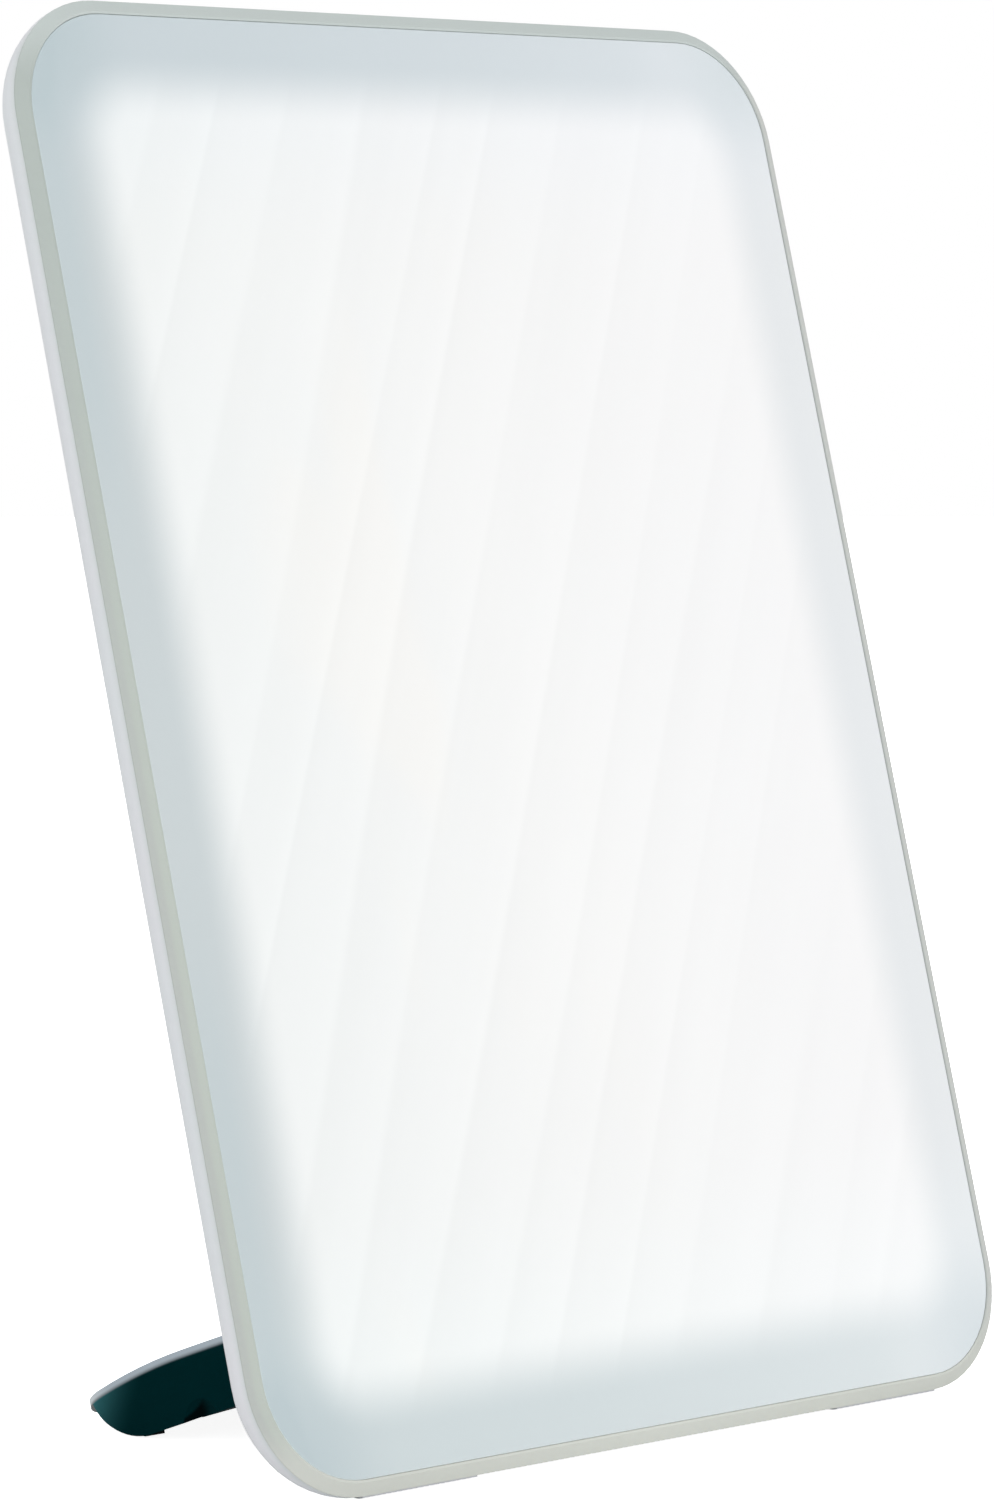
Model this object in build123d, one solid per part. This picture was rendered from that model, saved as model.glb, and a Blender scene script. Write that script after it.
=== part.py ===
from build123d import *
import os
from math import cos, radians, sin, sqrt

os.makedirs("parts", exist_ok=True)

# A slim light therapy lamp: an edge-lit light panel that leans back on a fold-out stand.
# The panel is drawn upright: X across, Y back from its front face, Z up from its bottom edge.
# It is then leaned back, and the whole lamp is set on the table, centred on its footprint.

# Driving dimensions, in millimetres and degrees
PANEL_W = 210.0
PANEL_H = 294.0
PANEL_T = 12.0
CORNER_R = 24.3
LEAN = 15.28
WALL = 1.6

BEZEL_W = 3.0
BEZEL_LAND = 0.5
BEZEL_DROP = 1.3
PARTING_Y = 1.5
BACK_ROUND = 10.3
LEDGE_W = 6.5
LEDGE_T = 0.85
SKIRT_INSET = 1.9

DIFFUSER_T = 2.0
DIFFUSER_GAP = 0.1
DIFFUSER_CHAMFER = 0.15
PARTING_GAP = 0.05
TAPE_T = 0.15
LIT_W = 175.0
LIT_H = 257.0
LIT_R = 7.0

GUIDE_W = 176.0
GUIDE_H = 258.0
GUIDE_T = 3.0
FRAME_INSET = 5.4
FRAME_FRONT = 3.1
FRAME_LIP = 1.1
REFLECTOR_T = 0.2
PLATE_T = 0.8
LEDS_PER_STRIP = 32
LED_PITCH = 7.8
LED_SIZE = (0.8, 1.4, 3.0)
STRIP_T = 1.0

FRAME_SCREW_X = 95.4
FRAME_SCREW_PITCH = 108.0
FRAME_HEAD_R = 2.1
CORE_R = 1.0
BOSS_R = 2.8
POST_R = 2.6

HOUSING_W = 132.0
HOUSING_H = 52.0
HOUSING_R = 14.0
HOUSING_Y = 25.0
HOUSING_Z = 137.0
HOUSING_DRAFT = 2.0
HOUSING_ROUND = 4.0
HOUSING_BLEND = 2.5

BOARD_W = 116.0
BOARD_H = 38.0
BOARD_Y = 13.4
BOARD_T = 1.6
JACK_SIZE = (14.0, 7.8, 9.0)
JACK_BORE_R = 3.15
JACK_BORE_DEPTH = 9.5
JACK_PIN_R = 1.0
JACK_HOLE_R = 3.8
JACK_SETBACK = 2.0

BUTTON_X = -40.0
BUTTON_R = 7.0
BUTTON_TRAVEL = 0.5
BUTTON_PROUD = 0.8
SWITCH_SIZE = 6.0
SWITCH_H = 3.4
PLUNGER_R = 1.7

STAND_W = 142.0
STAND_T = 14.0
STAND_END = 76.1
STAND_TOE_R = 19.3
STAND_DROOP_START = 37.9
STAND_TIP_T = 2.7
STAND_CORNER_R = 10.9
STAND_SLOPE = 19.65
STAND_SKIN = 2.0
STAND_WALL = 5.0
HOLLOW_START = 12.0
HOLLOW_END = 65.0
GRIP_START = 38.0
GRIP_ARCH_R = 430.0
ROOT_ARCH_START = 12.0
ROOT_ARCH_R = 800.0
COVER_T = 1.5
COVER_START = 9.0
COVER_SCREW_X = 52.0
COVER_SCREW_S = (16.0, 40.0)
COVER_HEAD_R = 2.2
COVER_HEAD_T = 1.0
COVER_HEAD_SINK = 0.1
COVER_SCREW_L = 5.0
RIB_XS = (-60, -30, 0, 30, 60)
RIB_T = 1.6
SCOOP_R = 9.0
SCOOP_OUT = 7.2
SCOOP_S = 36.6
SCOOP_T = -8.6
FOLD_GAP = 0.6
HINGE_Z = 30.8
PIN_R = 2.0
EYE_R = 5.0
EYE_CLEAR = 0.4
BRACKET_X = 40.0
HINGE_SCREW_STEP = 13.5
SLEEVE_T = 0.9
PIN_HALF = 62.0
BRACKET_W = 12.0
PAD_PROUD = 0.3
TOE_PAD_X = 66.5
BASE_FOOT_X = 66.0
PAD_FLAT = 0.12
PAD_SEAT = 0.8
BASE_PAD_ANGLE = 16.0
BASE_PAD_HALF = 15.0
TOE_PAD_ANGLE = 7.0
TOE_PAD_HALF = 2.5

# Sizes that follow from the driving dimensions
MID_Z = PANEL_H / 2
FLOOR_Y = PANEL_T - WALL
LEDGE_Y = DIFFUSER_T + TAPE_T
GUIDE_Y = FRAME_FRONT + FRAME_LIP + 0.05
GUIDE_BACK = GUIDE_Y + GUIDE_T
REFLECTOR_Y = GUIDE_BACK + 0.05
PLATE_Y = REFLECTOR_Y + REFLECTOR_T + 0.05
FRAME_BACK = PLATE_Y - 0.15
STRIP_X = GUIDE_W / 2 + 0.5 + LED_SIZE[0]
FLANGE_X = STRIP_X + STRIP_T
BOARD_BACK = BOARD_Y + BOARD_T
HOUSING_ROOF = HOUSING_Y - WALL
HALF_T = STAND_T / 2
HINGE_Y = PANEL_T + FOLD_GAP + HALF_T
STAND_SIDE = STAND_W / 2
FOOT_ARC_Y = PANEL_T - BACK_ROUND
FOOT_ARC_Z = BACK_ROUND
JACK_MOUTH = HOUSING_W / 2 - WALL - JACK_SETBACK
JACK_Y = BOARD_BACK + JACK_SIZE[1] / 2
NECK_HALF = 3.8

# The toe starts where its rocker arc brings it level with the panel's bottom edge
HINGE_RISE = HINGE_Z * cos(radians(LEAN)) - HINGE_Y * sin(radians(LEAN))
BASE_RISE = FOOT_ARC_Z * cos(radians(LEAN)) - FOOT_ARC_Y * sin(radians(LEAN)) - BACK_ROUND
TOE_CENTRE_T = STAND_TOE_R - HALF_T
TOE_DROP = HINGE_RISE + TOE_CENTRE_T * cos(radians(STAND_SLOPE)) - STAND_TOE_R - BASE_RISE
TOE_START = TOE_DROP / sin(radians(STAND_SLOPE))


# Small drawing helpers

def at_depth(y, x=0.0, z=MID_Z):
    """A sketch plane that faces backward at depth y."""
    return Plane(origin=(x, y, z), x_dir=(1, 0, 0), z_dir=(0, 1, 0))


def slab(width, height, radius, front, back, x=0.0, z=MID_Z):
    """A plate with rounded corners between two depths."""
    return extrude(at_depth(front, x, z) * RectangleRounded(width, height, radius), back - front)


def inset_slab(inset, front, back):
    """A plate with the panel's own outline, moved in by inset."""
    return slab(PANEL_W - 2 * inset, PANEL_H - 2 * inset, CORNER_R - inset, front, back)


def tapered_slab(size, far_size, front, back, x=0.0, z=MID_Z):
    """A plate whose rounded outline (width, height, radius) changes from front to back."""
    near = at_depth(front, x, z) * RectangleRounded(*size)
    far = at_depth(back, x, z) * RectangleRounded(*far_size)
    return loft([near.face(), far.face()])


def block(low, high):
    """An upright box between two opposite corners."""
    centre = [(a + b) / 2 for a, b in zip(low, high)]
    return Pos(*centre) * Box(*[b - a for a, b in zip(low, high)])


def rod_y(x, z, radius, front, back):
    """A round bar along the depth."""
    return extrude(at_depth(front, x, z) * Circle(radius), back - front)


def rod_x(y, z, radius, left, right):
    """A round bar across the lamp."""
    return extrude(Plane.YZ.offset(left) * Pos(y, z) * Circle(radius), right - left)


def arc_band(centre, inner, outer, start, sweep, left, right):
    """A bar across the lamp whose section is part of a ring, with angles from +Y towards +Z."""
    far = CenterArc(centre, outer, start, sweep)
    near = CenterArc(centre, inner, start, sweep)
    outline = make_face(far + Line(far @ 1, near @ 1) + near + Line(near @ 0, far @ 0))
    return extrude(Plane.YZ.offset(left) * outline, right - left)


def countersunk(x, z, head_y, head_r, shank_r, tip_y):
    """A flat-headed screw along the depth, head at head_y."""
    step = 1 if tip_y > head_y else -1
    cone_end = head_y + step * (head_r - shank_r)
    near = at_depth(head_y, x, z) * Circle(head_r)
    far = at_depth(cone_end, x, z) * Circle(shank_r)
    return loft([near.face(), far.face()]) + rod_y(x, z, shank_r, cone_end, tip_y)


# Front of the panel

def bezel_frame():
    """Narrow ring round the diffuser: a flat land, a slope to the side wall, and a ledge behind."""
    inner = BEZEL_W - BEZEL_LAND
    near = (PANEL_W - 2 * inner, PANEL_H - 2 * inner, CORNER_R - inner)
    ring = tapered_slab(near, (PANEL_W, PANEL_H, CORNER_R), 0, BEZEL_DROP)
    ring += inset_slab(0, BEZEL_DROP, PARTING_Y)
    ring += inset_slab(SKIRT_INSET, PARTING_Y, LEDGE_Y + LEDGE_T)
    ring -= inset_slab(BEZEL_W, -1, LEDGE_Y)
    return ring - inset_slab(LEDGE_W, 1, LEDGE_Y + 2)


def diffuser_panel():
    """Opal sheet, flush with the bezel's land, its front edge eased."""
    sheet = inset_slab(BEZEL_W + DIFFUSER_GAP, 0, DIFFUSER_T)
    return chamfer(sheet.edges().filter_by_position(Axis.Y, 0, 0), DIFFUSER_CHAMFER)


def diffuser_tape():
    return inset_slab(BEZEL_W + 0.6, DIFFUSER_T, LEDGE_Y) - inset_slab(LEDGE_W - 0.3, 1, LEDGE_Y + 1)


def diffusing_film():
    return inset_slab(LEDGE_W + 0.3, DIFFUSER_T + 0.05, DIFFUSER_T + 0.3)


# Light engine

def frame_screw_places():
    """Screw positions in the margin of the inner frame, three on each side."""
    sides = (-FRAME_SCREW_X, FRAME_SCREW_X)
    return [(x, MID_Z + step * FRAME_SCREW_PITCH) for x in sides for step in (-1, 0, 1)]


def inner_frame():
    """White frame whose lip sets the lit window and whose pocket holds the guide and LED strips."""
    frame = inset_slab(FRAME_INSET, FRAME_FRONT, FRAME_BACK)
    frame -= slab(LIT_W, LIT_H, LIT_R, FRAME_FRONT - 1, GUIDE_Y)
    frame -= slab(GUIDE_W + 0.6, GUIDE_H + 0.6, 1.0, FRAME_FRONT + FRAME_LIP, FRAME_BACK + 1)
    wide = 2 * (FLANGE_X + PLATE_T + 0.2)
    frame -= slab(wide, GUIDE_H - 1, 1.0, FRAME_FRONT + FRAME_LIP, FRAME_BACK + 1)
    for x, z in frame_screw_places():
        frame -= rod_y(x, z, CORE_R + 0.3, FRAME_FRONT - 1, FRAME_BACK + 1)
        frame -= rod_y(x, z, FRAME_HEAD_R + 0.3, FRAME_FRONT - 1, FRAME_FRONT + 1.5)
    return frame


def frame_screws():
    screws = []
    for x, z in frame_screw_places():
        head = rod_y(x, z, FRAME_HEAD_R, FRAME_FRONT + 0.3, FRAME_FRONT + 1.5)
        screws.append(head + rod_y(x, z, CORE_R, FRAME_FRONT + 1.5, FLOOR_Y - 0.4))
    return Compound(screws)


def light_guide():
    return slab(GUIDE_W, GUIDE_H, 0.8, GUIDE_Y, GUIDE_BACK)


def reflector_film():
    return slab(GUIDE_W, GUIDE_H, 0.8, REFLECTOR_Y, REFLECTOR_Y + REFLECTOR_T)


def back_plate():
    """Aluminium sheet behind the guide, both long edges folded forward to carry the LED strips."""
    plate_h = GUIDE_H - 3
    edge = FLANGE_X + PLATE_T
    plate = slab(2 * edge, plate_h, 1.0, PLATE_Y, PLATE_Y + PLATE_T)
    for side in (-1, 1):
        inner = side * FLANGE_X
        outer = side * edge
        low = (min(inner, outer), GUIDE_Y + 0.2, MID_Z - plate_h / 2 + 1.5)
        high = (max(inner, outer), PLATE_Y + 0.4, MID_Z + plate_h / 2 - 1.5)
        plate += block(low, high)
    return plate


def led_strip(side):
    """Narrow board on the folded edge, facing the light guide."""
    inner = side * STRIP_X
    outer = side * FLANGE_X
    half = LEDS_PER_STRIP * LED_PITCH / 2 + 1
    low = (min(inner, outer), GUIDE_Y + 0.2, MID_Z - half)
    return block(low, (max(inner, outer), PLATE_Y - 0.1, MID_Z + half))


def leds(side):
    """One row of emitters between the strip and the edge of the guide."""
    row = []
    depth, height, length = LED_SIZE
    middle_y = (GUIDE_Y + GUIDE_BACK) / 2
    for i in range(LEDS_PER_STRIP):
        z = MID_Z + (i - (LEDS_PER_STRIP - 1) / 2) * LED_PITCH
        row.append(Pos(side * (STRIP_X - depth / 2), middle_y, z) * Box(depth, height, length))
    return Compound(row)


# Housing

def base_foot_band(x, proud):
    """A strip on the rounded bottom edge, centred on the line that meets the table."""
    start = 270 + LEAN - BASE_PAD_ANGLE
    return arc_band((FOOT_ARC_Y, FOOT_ARC_Z), BACK_ROUND - PAD_SEAT, BACK_ROUND + proud, start,
                    2 * BASE_PAD_ANGLE, x - BASE_PAD_HALF, x + BASE_PAD_HALF)


def base_feet():
    return Compound([base_foot_band(x, PAD_PROUD) for x in (-BASE_FOOT_X, BASE_FOOT_X)])


def housing_solid(inset, front, back):
    """The raised driver housing, moved in by inset, with drafted walls."""
    draft = HOUSING_DRAFT * (back - front) / (HOUSING_Y - PANEL_T)
    near = (HOUSING_W - 2 * inset, HOUSING_H - 2 * inset, HOUSING_R - inset)
    far = (near[0] - draft, near[1] - draft, near[2] - draft / 2)
    return tapered_slab(near, far, front, back, 0, HOUSING_Z)


def board_post_places():
    return [(sx * (BOARD_W / 2 - 5), HOUSING_Z + sz * (BOARD_H / 2 - 4)) for sx in (-1, 1) for sz in (-1, 1)]


def rear_shell_outside():
    shell = inset_slab(0, PARTING_Y + PARTING_GAP, PANEL_T)
    shell = fillet(shell.edges().filter_by_position(Axis.Y, PANEL_T, PANEL_T), BACK_ROUND)
    raised = housing_solid(0, PANEL_T - 0.5, HOUSING_Y)
    raised = fillet(raised.edges().filter_by_position(Axis.Y, HOUSING_Y, HOUSING_Y), HOUSING_ROUND)
    shell += raised
    rim = shell.edges().filter_by_position(Axis.Y, PANEL_T, PANEL_T)
    foot = rim.filter_by_position(Axis.X, -HOUSING_W / 2 - 1, HOUSING_W / 2 + 1)
    foot = foot.filter_by_position(Axis.Z, HOUSING_Z - HOUSING_H, HOUSING_Z + HOUSING_H)
    return fillet(foot, HOUSING_BLEND)


def rear_shell_inside():
    hollow = inset_slab(WALL, 0, FLOOR_Y)
    hollow = fillet(hollow.edges().filter_by_position(Axis.Y, FLOOR_Y, FLOOR_Y), BACK_ROUND - WALL)
    raised = housing_solid(WALL, FLOOR_Y - 0.5, HOUSING_ROOF)
    raised = chamfer(raised.edges().filter_by_position(Axis.Y, HOUSING_ROOF, HOUSING_ROOF), 1.4)
    return hollow + raised


def rear_shell():
    """Tray-shaped moulding with a soft back edge, its driver housing, bosses and posts."""
    shell = rear_shell_outside() - rear_shell_inside()
    for x, z in frame_screw_places():
        shell += rod_y(x, z, BOSS_R, FRAME_BACK, FLOOR_Y + 0.5) - rod_y(x, z, CORE_R, 0, FLOOR_Y - 0.4)
    for x, z in board_post_places():
        shell += rod_y(x, z, POST_R, BOARD_BACK, HOUSING_ROOF + 0.5)
        shell -= rod_y(x, z, CORE_R, 0, BOARD_BACK + 4.5)
    collar = rod_y(BUTTON_X, HOUSING_Z, BUTTON_R + 1.9, HOUSING_ROOF - 1.2, HOUSING_ROOF + 0.5)
    shell += collar - rod_y(BUTTON_X, HOUSING_Z, BUTTON_R + 0.9, 0, HOUSING_ROOF)
    shell -= rod_y(BUTTON_X, HOUSING_Z, BUTTON_R + 0.3, HOUSING_ROOF - 2, HOUSING_Y + 1)
    shell -= rod_x(JACK_Y, HOUSING_Z, JACK_HOLE_R, HOUSING_W / 2 - 5, HOUSING_W / 2 + 1)
    for x in (-BRACKET_X, BRACKET_X):
        shell -= slab(BRACKET_W + 0.4, 2 * NECK_HALF + 0.6, 1.0, FLOOR_Y - 1, PANEL_T + 1, x, HINGE_Z)
    for x, z in hinge_screw_places():
        shell -= countersunk(x, z, PANEL_T, 2.5, 1.3, FLOOR_Y - 1)
    for x in (-BASE_FOOT_X, BASE_FOOT_X):
        shell -= base_foot_band(x, 2)
    return shell


# Driver electronics

def driver_board():
    board = slab(BOARD_W, BOARD_H, 2.0, BOARD_Y, BOARD_BACK, 0, HOUSING_Z)
    for x, z in board_post_places():
        board -= rod_y(x, z, 1.2, BOARD_Y - 1, BOARD_BACK + 1)
    return board


def board_screws():
    screws = []
    for x, z in board_post_places():
        head = rod_y(x, z, 2.2, BOARD_Y - 1.3, BOARD_Y)
        screws.append(head + rod_y(x, z, CORE_R, BOARD_Y, BOARD_BACK + 4.2))
    return Compound(screws)


def on_board(x, z, width, height, rise):
    """A block soldered to the back of the driver board."""
    return block((x - width / 2, BOARD_BACK, HOUSING_Z + z - height / 2),
                 (x + width / 2, BOARD_BACK + rise, HOUSING_Z + z + height / 2))


def inductor():
    """Shielded power choke with chamfered upright corners."""
    body = on_board(14, 6, 12, 12, 6)
    return chamfer(body.edges().filter_by(Axis.Y), 2.2)


def capacitors():
    return Compound([rod_y(x, HOUSING_Z + 8, 3.15, BOARD_BACK, BOARD_BACK + 7) for x in (-14, -5, 34)])


def driver_chip():
    return on_board(0, -9, 7, 7, 1.3)


def led_connectors():
    return Compound([on_board(x, 11, 7.5, 5, 4) for x in (-30, 46)])


def dc_inlet():
    """Barrel socket soldered at the end of the board, its mouth at the housing's side wall."""
    length, rise, width = JACK_SIZE
    body = on_board(JACK_MOUTH - length / 2, 0, length, width, rise)
    body -= rod_x(JACK_Y, HOUSING_Z, JACK_BORE_R, JACK_MOUTH - JACK_BORE_DEPTH, JACK_MOUTH + 1)
    return body - rod_x(JACK_Y, HOUSING_Z, JACK_PIN_R, JACK_MOUTH - JACK_BORE_DEPTH - 2, JACK_MOUTH)


def dc_inlet_pin():
    pin = rod_x(JACK_Y, HOUSING_Z, JACK_PIN_R, JACK_MOUTH - JACK_BORE_DEPTH - 2, JACK_MOUTH - 1)
    return chamfer(pin.edges().sort_by(Axis.X)[-1], 0.5)


def switch_body():
    """Push switch on the board, open at its back for the plunger."""
    body = on_board(BUTTON_X, 0, SWITCH_SIZE, SWITCH_SIZE, SWITCH_H)
    return body - rod_y(BUTTON_X, HOUSING_Z, PLUNGER_R + 0.3, BOARD_BACK + 1, BOARD_BACK + SWITCH_H + 1)


def switch_plunger():
    low = BOARD_BACK + 1.3 + BUTTON_TRAVEL
    return rod_y(BUTTON_X, HOUSING_Z, PLUNGER_R, low, BOARD_BACK + SWITCH_H + 1.2)


def power_button():
    """Round cap with a retaining flange under the housing wall and a post on the plunger."""
    flange_back = HOUSING_ROOF - 0.3
    cap = rod_y(BUTTON_X, HOUSING_Z, BUTTON_R, flange_back - 1.4, HOUSING_Y + BUTTON_PROUD)
    cap = chamfer(cap.edges().sort_by(Axis.Y)[-1], 0.5)
    cap += rod_y(BUTTON_X, HOUSING_Z, BUTTON_R + 0.6, flange_back - 1.4, flange_back)
    cap += rod_y(BUTTON_X, HOUSING_Z, 2.2, BOARD_BACK + SWITCH_H + 1.2, flange_back - 1)
    bowl_r = 30.0
    bowl = Pos(BUTTON_X, HOUSING_Y + BUTTON_PROUD + bowl_r - 0.5, HOUSING_Z) * Sphere(bowl_r)
    return cap - bowl


# Hinge

def hinge_screw_places():
    return [(sx * BRACKET_X + step, HINGE_Z) for sx in (-1, 1)
            for step in (-HINGE_SCREW_STEP, HINGE_SCREW_STEP)]


def hinge_bracket(side):
    """Steel foot inside the wall, a neck through it, and an eye round the hinge pin."""
    x = side * BRACKET_X
    foot = slab(38, 14, 3.0, FLOOR_Y - 1.4, FLOOR_Y, x, HINGE_Z)
    neck = slab(BRACKET_W, 2 * NECK_HALF, 0.8, FLOOR_Y - 0.5, HINGE_Y, x, HINGE_Z)
    eye = rod_x(HINGE_Y, HINGE_Z, EYE_R, x - BRACKET_W / 2, x + BRACKET_W / 2)
    bracket = foot + neck + eye
    bracket -= rod_x(HINGE_Y, HINGE_Z, PIN_R + SLEEVE_T, x - BRACKET_W, x + BRACKET_W)
    for screw_x, z in hinge_screw_places():
        bracket -= rod_y(screw_x, z, 1.25, FLOOR_Y - 3, FLOOR_Y + 1)
    return bracket


def friction_clip(side):
    """Split spring-steel sleeve pressed in the eye; it grips the pin and holds the stand's angle."""
    x = side * BRACKET_X
    return arc_band((HINGE_Y, HINGE_Z), PIN_R + 0.03, PIN_R + SLEEVE_T, 200, 320,
                    x - BRACKET_W / 2, x + BRACKET_W / 2)


def hinge_screws():
    return Compound([countersunk(x, z, PANEL_T, 2.4, 1.25, FLOOR_Y - 1.6) for x, z in hinge_screw_places()])


# Stand, drawn about its hinge: Y along the leg, Z square to it, top face up when it is folded out

def below_top(depth):
    """Side view of all that lies lower than depth under the stand's top face, which is flat near
    the hinge and droops in one long arc to the tip."""
    start = (STAND_DROOP_START, HALF_T - depth)
    tip = (STAND_END, STAND_TIP_T - depth)
    flat = Line((-STAND_T, HALF_T - depth), start)
    droop = TangentArc(start, tip, tangent=(1, 0))
    rest = Polyline(tip, (STAND_END, -STAND_T), (-STAND_T, -STAND_T), (-STAND_T, HALF_T - depth))
    return make_face(flat + droop + rest)


def stand_section():
    """Side view of the stand: a round root, a flat leg, a rocker toe and the lid's thin lip."""
    body = Circle(HALF_T) + Pos(TOE_START / 2, 0) * Rectangle(TOE_START, STAND_T)
    body += Pos(TOE_START, TOE_CENTRE_T) * Circle(STAND_TOE_R)
    lid = below_top(0) - below_top(COVER_T)
    past_toe_start = Pos((TOE_START + STAND_END) / 2, 0) * Rectangle(STAND_END - TOE_START, 2 * STAND_T)
    return (body & below_top(0)) + (lid & past_toe_start)


def stand_outline():
    """Plan view of the stand: straight sides and round corners at the toe."""
    near = -HALF_T - 1
    sketch = Pos(0, (near + STAND_END) / 2) * Rectangle(STAND_W, STAND_END - near)
    return fillet(sketch.vertices().group_by(Axis.Y)[-1], STAND_CORNER_R)


def arch_cut(radius, start, end):
    """A cylinder along the leg that hollows the underside between the stand's two sides."""
    below = sqrt(radius ** 2 - STAND_SIDE ** 2)
    section = Plane(origin=(0, start, 0), x_dir=(1, 0, 0), z_dir=(0, 1, 0))
    return extrude(section * Pos(0, HALF_T + below) * Circle(radius), end - start)


def thumb_scoop(side):
    """A shallow round hollow low on the stand's side."""
    return Pos(side * (STAND_SIDE + SCOOP_OUT), SCOOP_S, SCOOP_T) * Sphere(SCOOP_R)


def stand_block():
    """The outer form of the stand: arched so that its two sides carry it, with a deeper arch under
    the toe for the fingers that fold it out, and a scoop for the thumb low on either side."""
    body = extrude(Plane.YZ.offset(-STAND_SIDE) * stand_section(), STAND_W)
    body &= extrude(Plane.XY.offset(-STAND_T) * stand_outline(), 2 * STAND_T)
    body -= arch_cut(ROOT_ARCH_R, ROOT_ARCH_START, GRIP_START)
    body -= arch_cut(GRIP_ARCH_R, GRIP_START, STAND_END + 1)
    return body - thumb_scoop(-1) - thumb_scoop(1)


def lid_zone():
    """The length of the leg that the lid covers."""
    return block((-STAND_W, COVER_START, -STAND_T), (STAND_W, STAND_END + 1, STAND_T))


def under_lid():
    """The space below the lid's underside."""
    return extrude(Plane.YZ.offset(-STAND_SIDE - 1) * below_top(COVER_T), STAND_W + 2)


def stand_hollow(block_shape):
    """The space inside the walls and above the bottom skin."""
    length = HOLLOW_END - HOLLOW_START
    room = Pos(0, HOLLOW_START + length / 2, 0) * Box(STAND_W - 2 * STAND_WALL, length, 2 * STAND_T)
    return fillet(room.edges().filter_by(Axis.Z), 4) & (Pos(0, 0, STAND_SKIN) * block_shape)


def cover_screw_places():
    return [(x, s) for x in (-COVER_SCREW_X, COVER_SCREW_X) for s in COVER_SCREW_S]


def stand_cover(block_shape):
    """Lid over the whole leg, following the curve of its top face and ending in a thin lip."""
    cover = (block_shape & lid_zone()) - under_lid()
    for x, s in cover_screw_places():
        cover -= Pos(x, s, HALF_T) * Cylinder(COVER_HEAD_R + 0.2, 2 * (COVER_HEAD_SINK + COVER_HEAD_T))
        cover -= Pos(x, s, HALF_T) * Cylinder(CORE_R + 0.3, 3 * COVER_T)
    return cover


def cover_screw_shank(x, s):
    """The shank of a lid screw, from just inside its head down into the boss."""
    top = HALF_T - COVER_HEAD_SINK - COVER_HEAD_T
    return Pos(x, s, top - COVER_SCREW_L / 2) * Cylinder(CORE_R, COVER_SCREW_L)


def cover_screws():
    screws = []
    for x, s in cover_screw_places():
        head = Pos(x, s, HALF_T - COVER_HEAD_SINK - COVER_HEAD_T / 2) * Cylinder(COVER_HEAD_R, COVER_HEAD_T)
        screws.append(head + cover_screw_shank(x, s))
    return Compound(screws)


def bracket_pocket(x):
    """Room in the stand's root for a bracket's eye and neck through the whole fold."""
    half = BRACKET_W / 2 + EYE_CLEAR
    room = rod_x(0, 0, EYE_R + EYE_CLEAR, x - half, x + half)
    reach = NECK_HALF + EYE_CLEAR
    return room + block((x - half, -HALF_T - 1, -reach - 0.8), (x + half, reach, HALF_T + 1))


def toe_pad_band(x, proud):
    """A strip on the rocker arc of the toe where it meets the table."""
    start = 270 + STAND_SLOPE - TOE_PAD_ANGLE
    return arc_band((TOE_START, TOE_CENTRE_T), STAND_TOE_R - PAD_SEAT, STAND_TOE_R + proud, start,
                    2 * TOE_PAD_ANGLE, x - TOE_PAD_HALF, x + TOE_PAD_HALF)


def stand_shell(block_shape):
    """Dark moulding with ribs, screw bosses, a bore for the pin and pockets for the brackets."""
    shell = block_shape - stand_hollow(block_shape)
    inside = block_shape & under_lid()
    for x in RIB_XS:
        low = (x - RIB_T / 2, HOLLOW_START - 2, -HALF_T)
        shell += block(low, (x + RIB_T / 2, HOLLOW_END + 1, HALF_T)) & inside
    for x, s in cover_screw_places():
        shell += (Pos(x, s, 0) * Cylinder(BOSS_R, STAND_T)) & inside
        shell -= cover_screw_shank(x, s)
    shell -= lid_zone() - under_lid()
    for x in (-BRACKET_X, BRACKET_X):
        shell -= bracket_pocket(x)
    shell -= rod_x(0, 0, PIN_R, -PIN_HALF, PIN_HALF)
    for x in (-TOE_PAD_X, TOE_PAD_X):
        shell -= toe_pad_band(x, 2)
    return shell


def toe_pads():
    return Compound([toe_pad_band(x, PAD_PROUD) for x in (-TOE_PAD_X, TOE_PAD_X)])


def hinge_pin():
    pin = rod_x(0, 0, PIN_R, -PIN_HALF, PIN_HALF)
    return chamfer(pin.edges().filter_by(GeomType.CIRCLE), 0.4)


# Assembly

def panel_parts():
    """The pieces that lean with the panel, upright."""
    return {
        "bezel_frame": bezel_frame(),
        "diffuser_panel": diffuser_panel(),
        "diffuser_tape": diffuser_tape(),
        "diffusing_film": diffusing_film(),
        "inner_frame": inner_frame(),
        "frame_screws": frame_screws(),
        "light_guide": light_guide(),
        "reflector_film": reflector_film(),
        "back_plate": back_plate(),
        "led_strip_left": led_strip(-1),
        "led_strip_right": led_strip(1),
        "leds_left": leds(-1),
        "leds_right": leds(1),
        "rear_shell": rear_shell(),
        "base_feet": base_feet(),
        "driver_board": driver_board(),
        "board_screws": board_screws(),
        "inductor": inductor(),
        "capacitors": capacitors(),
        "driver_chip": driver_chip(),
        "led_connectors": led_connectors(),
        "dc_inlet": dc_inlet(),
        "dc_inlet_pin": dc_inlet_pin(),
        "switch_body": switch_body(),
        "switch_plunger": switch_plunger(),
        "power_button": power_button(),
        "hinge_bracket_left": hinge_bracket(-1),
        "hinge_bracket_right": hinge_bracket(1),
        "friction_clip_left": friction_clip(-1),
        "friction_clip_right": friction_clip(1),
        "hinge_screws": hinge_screws(),
    }


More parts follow.
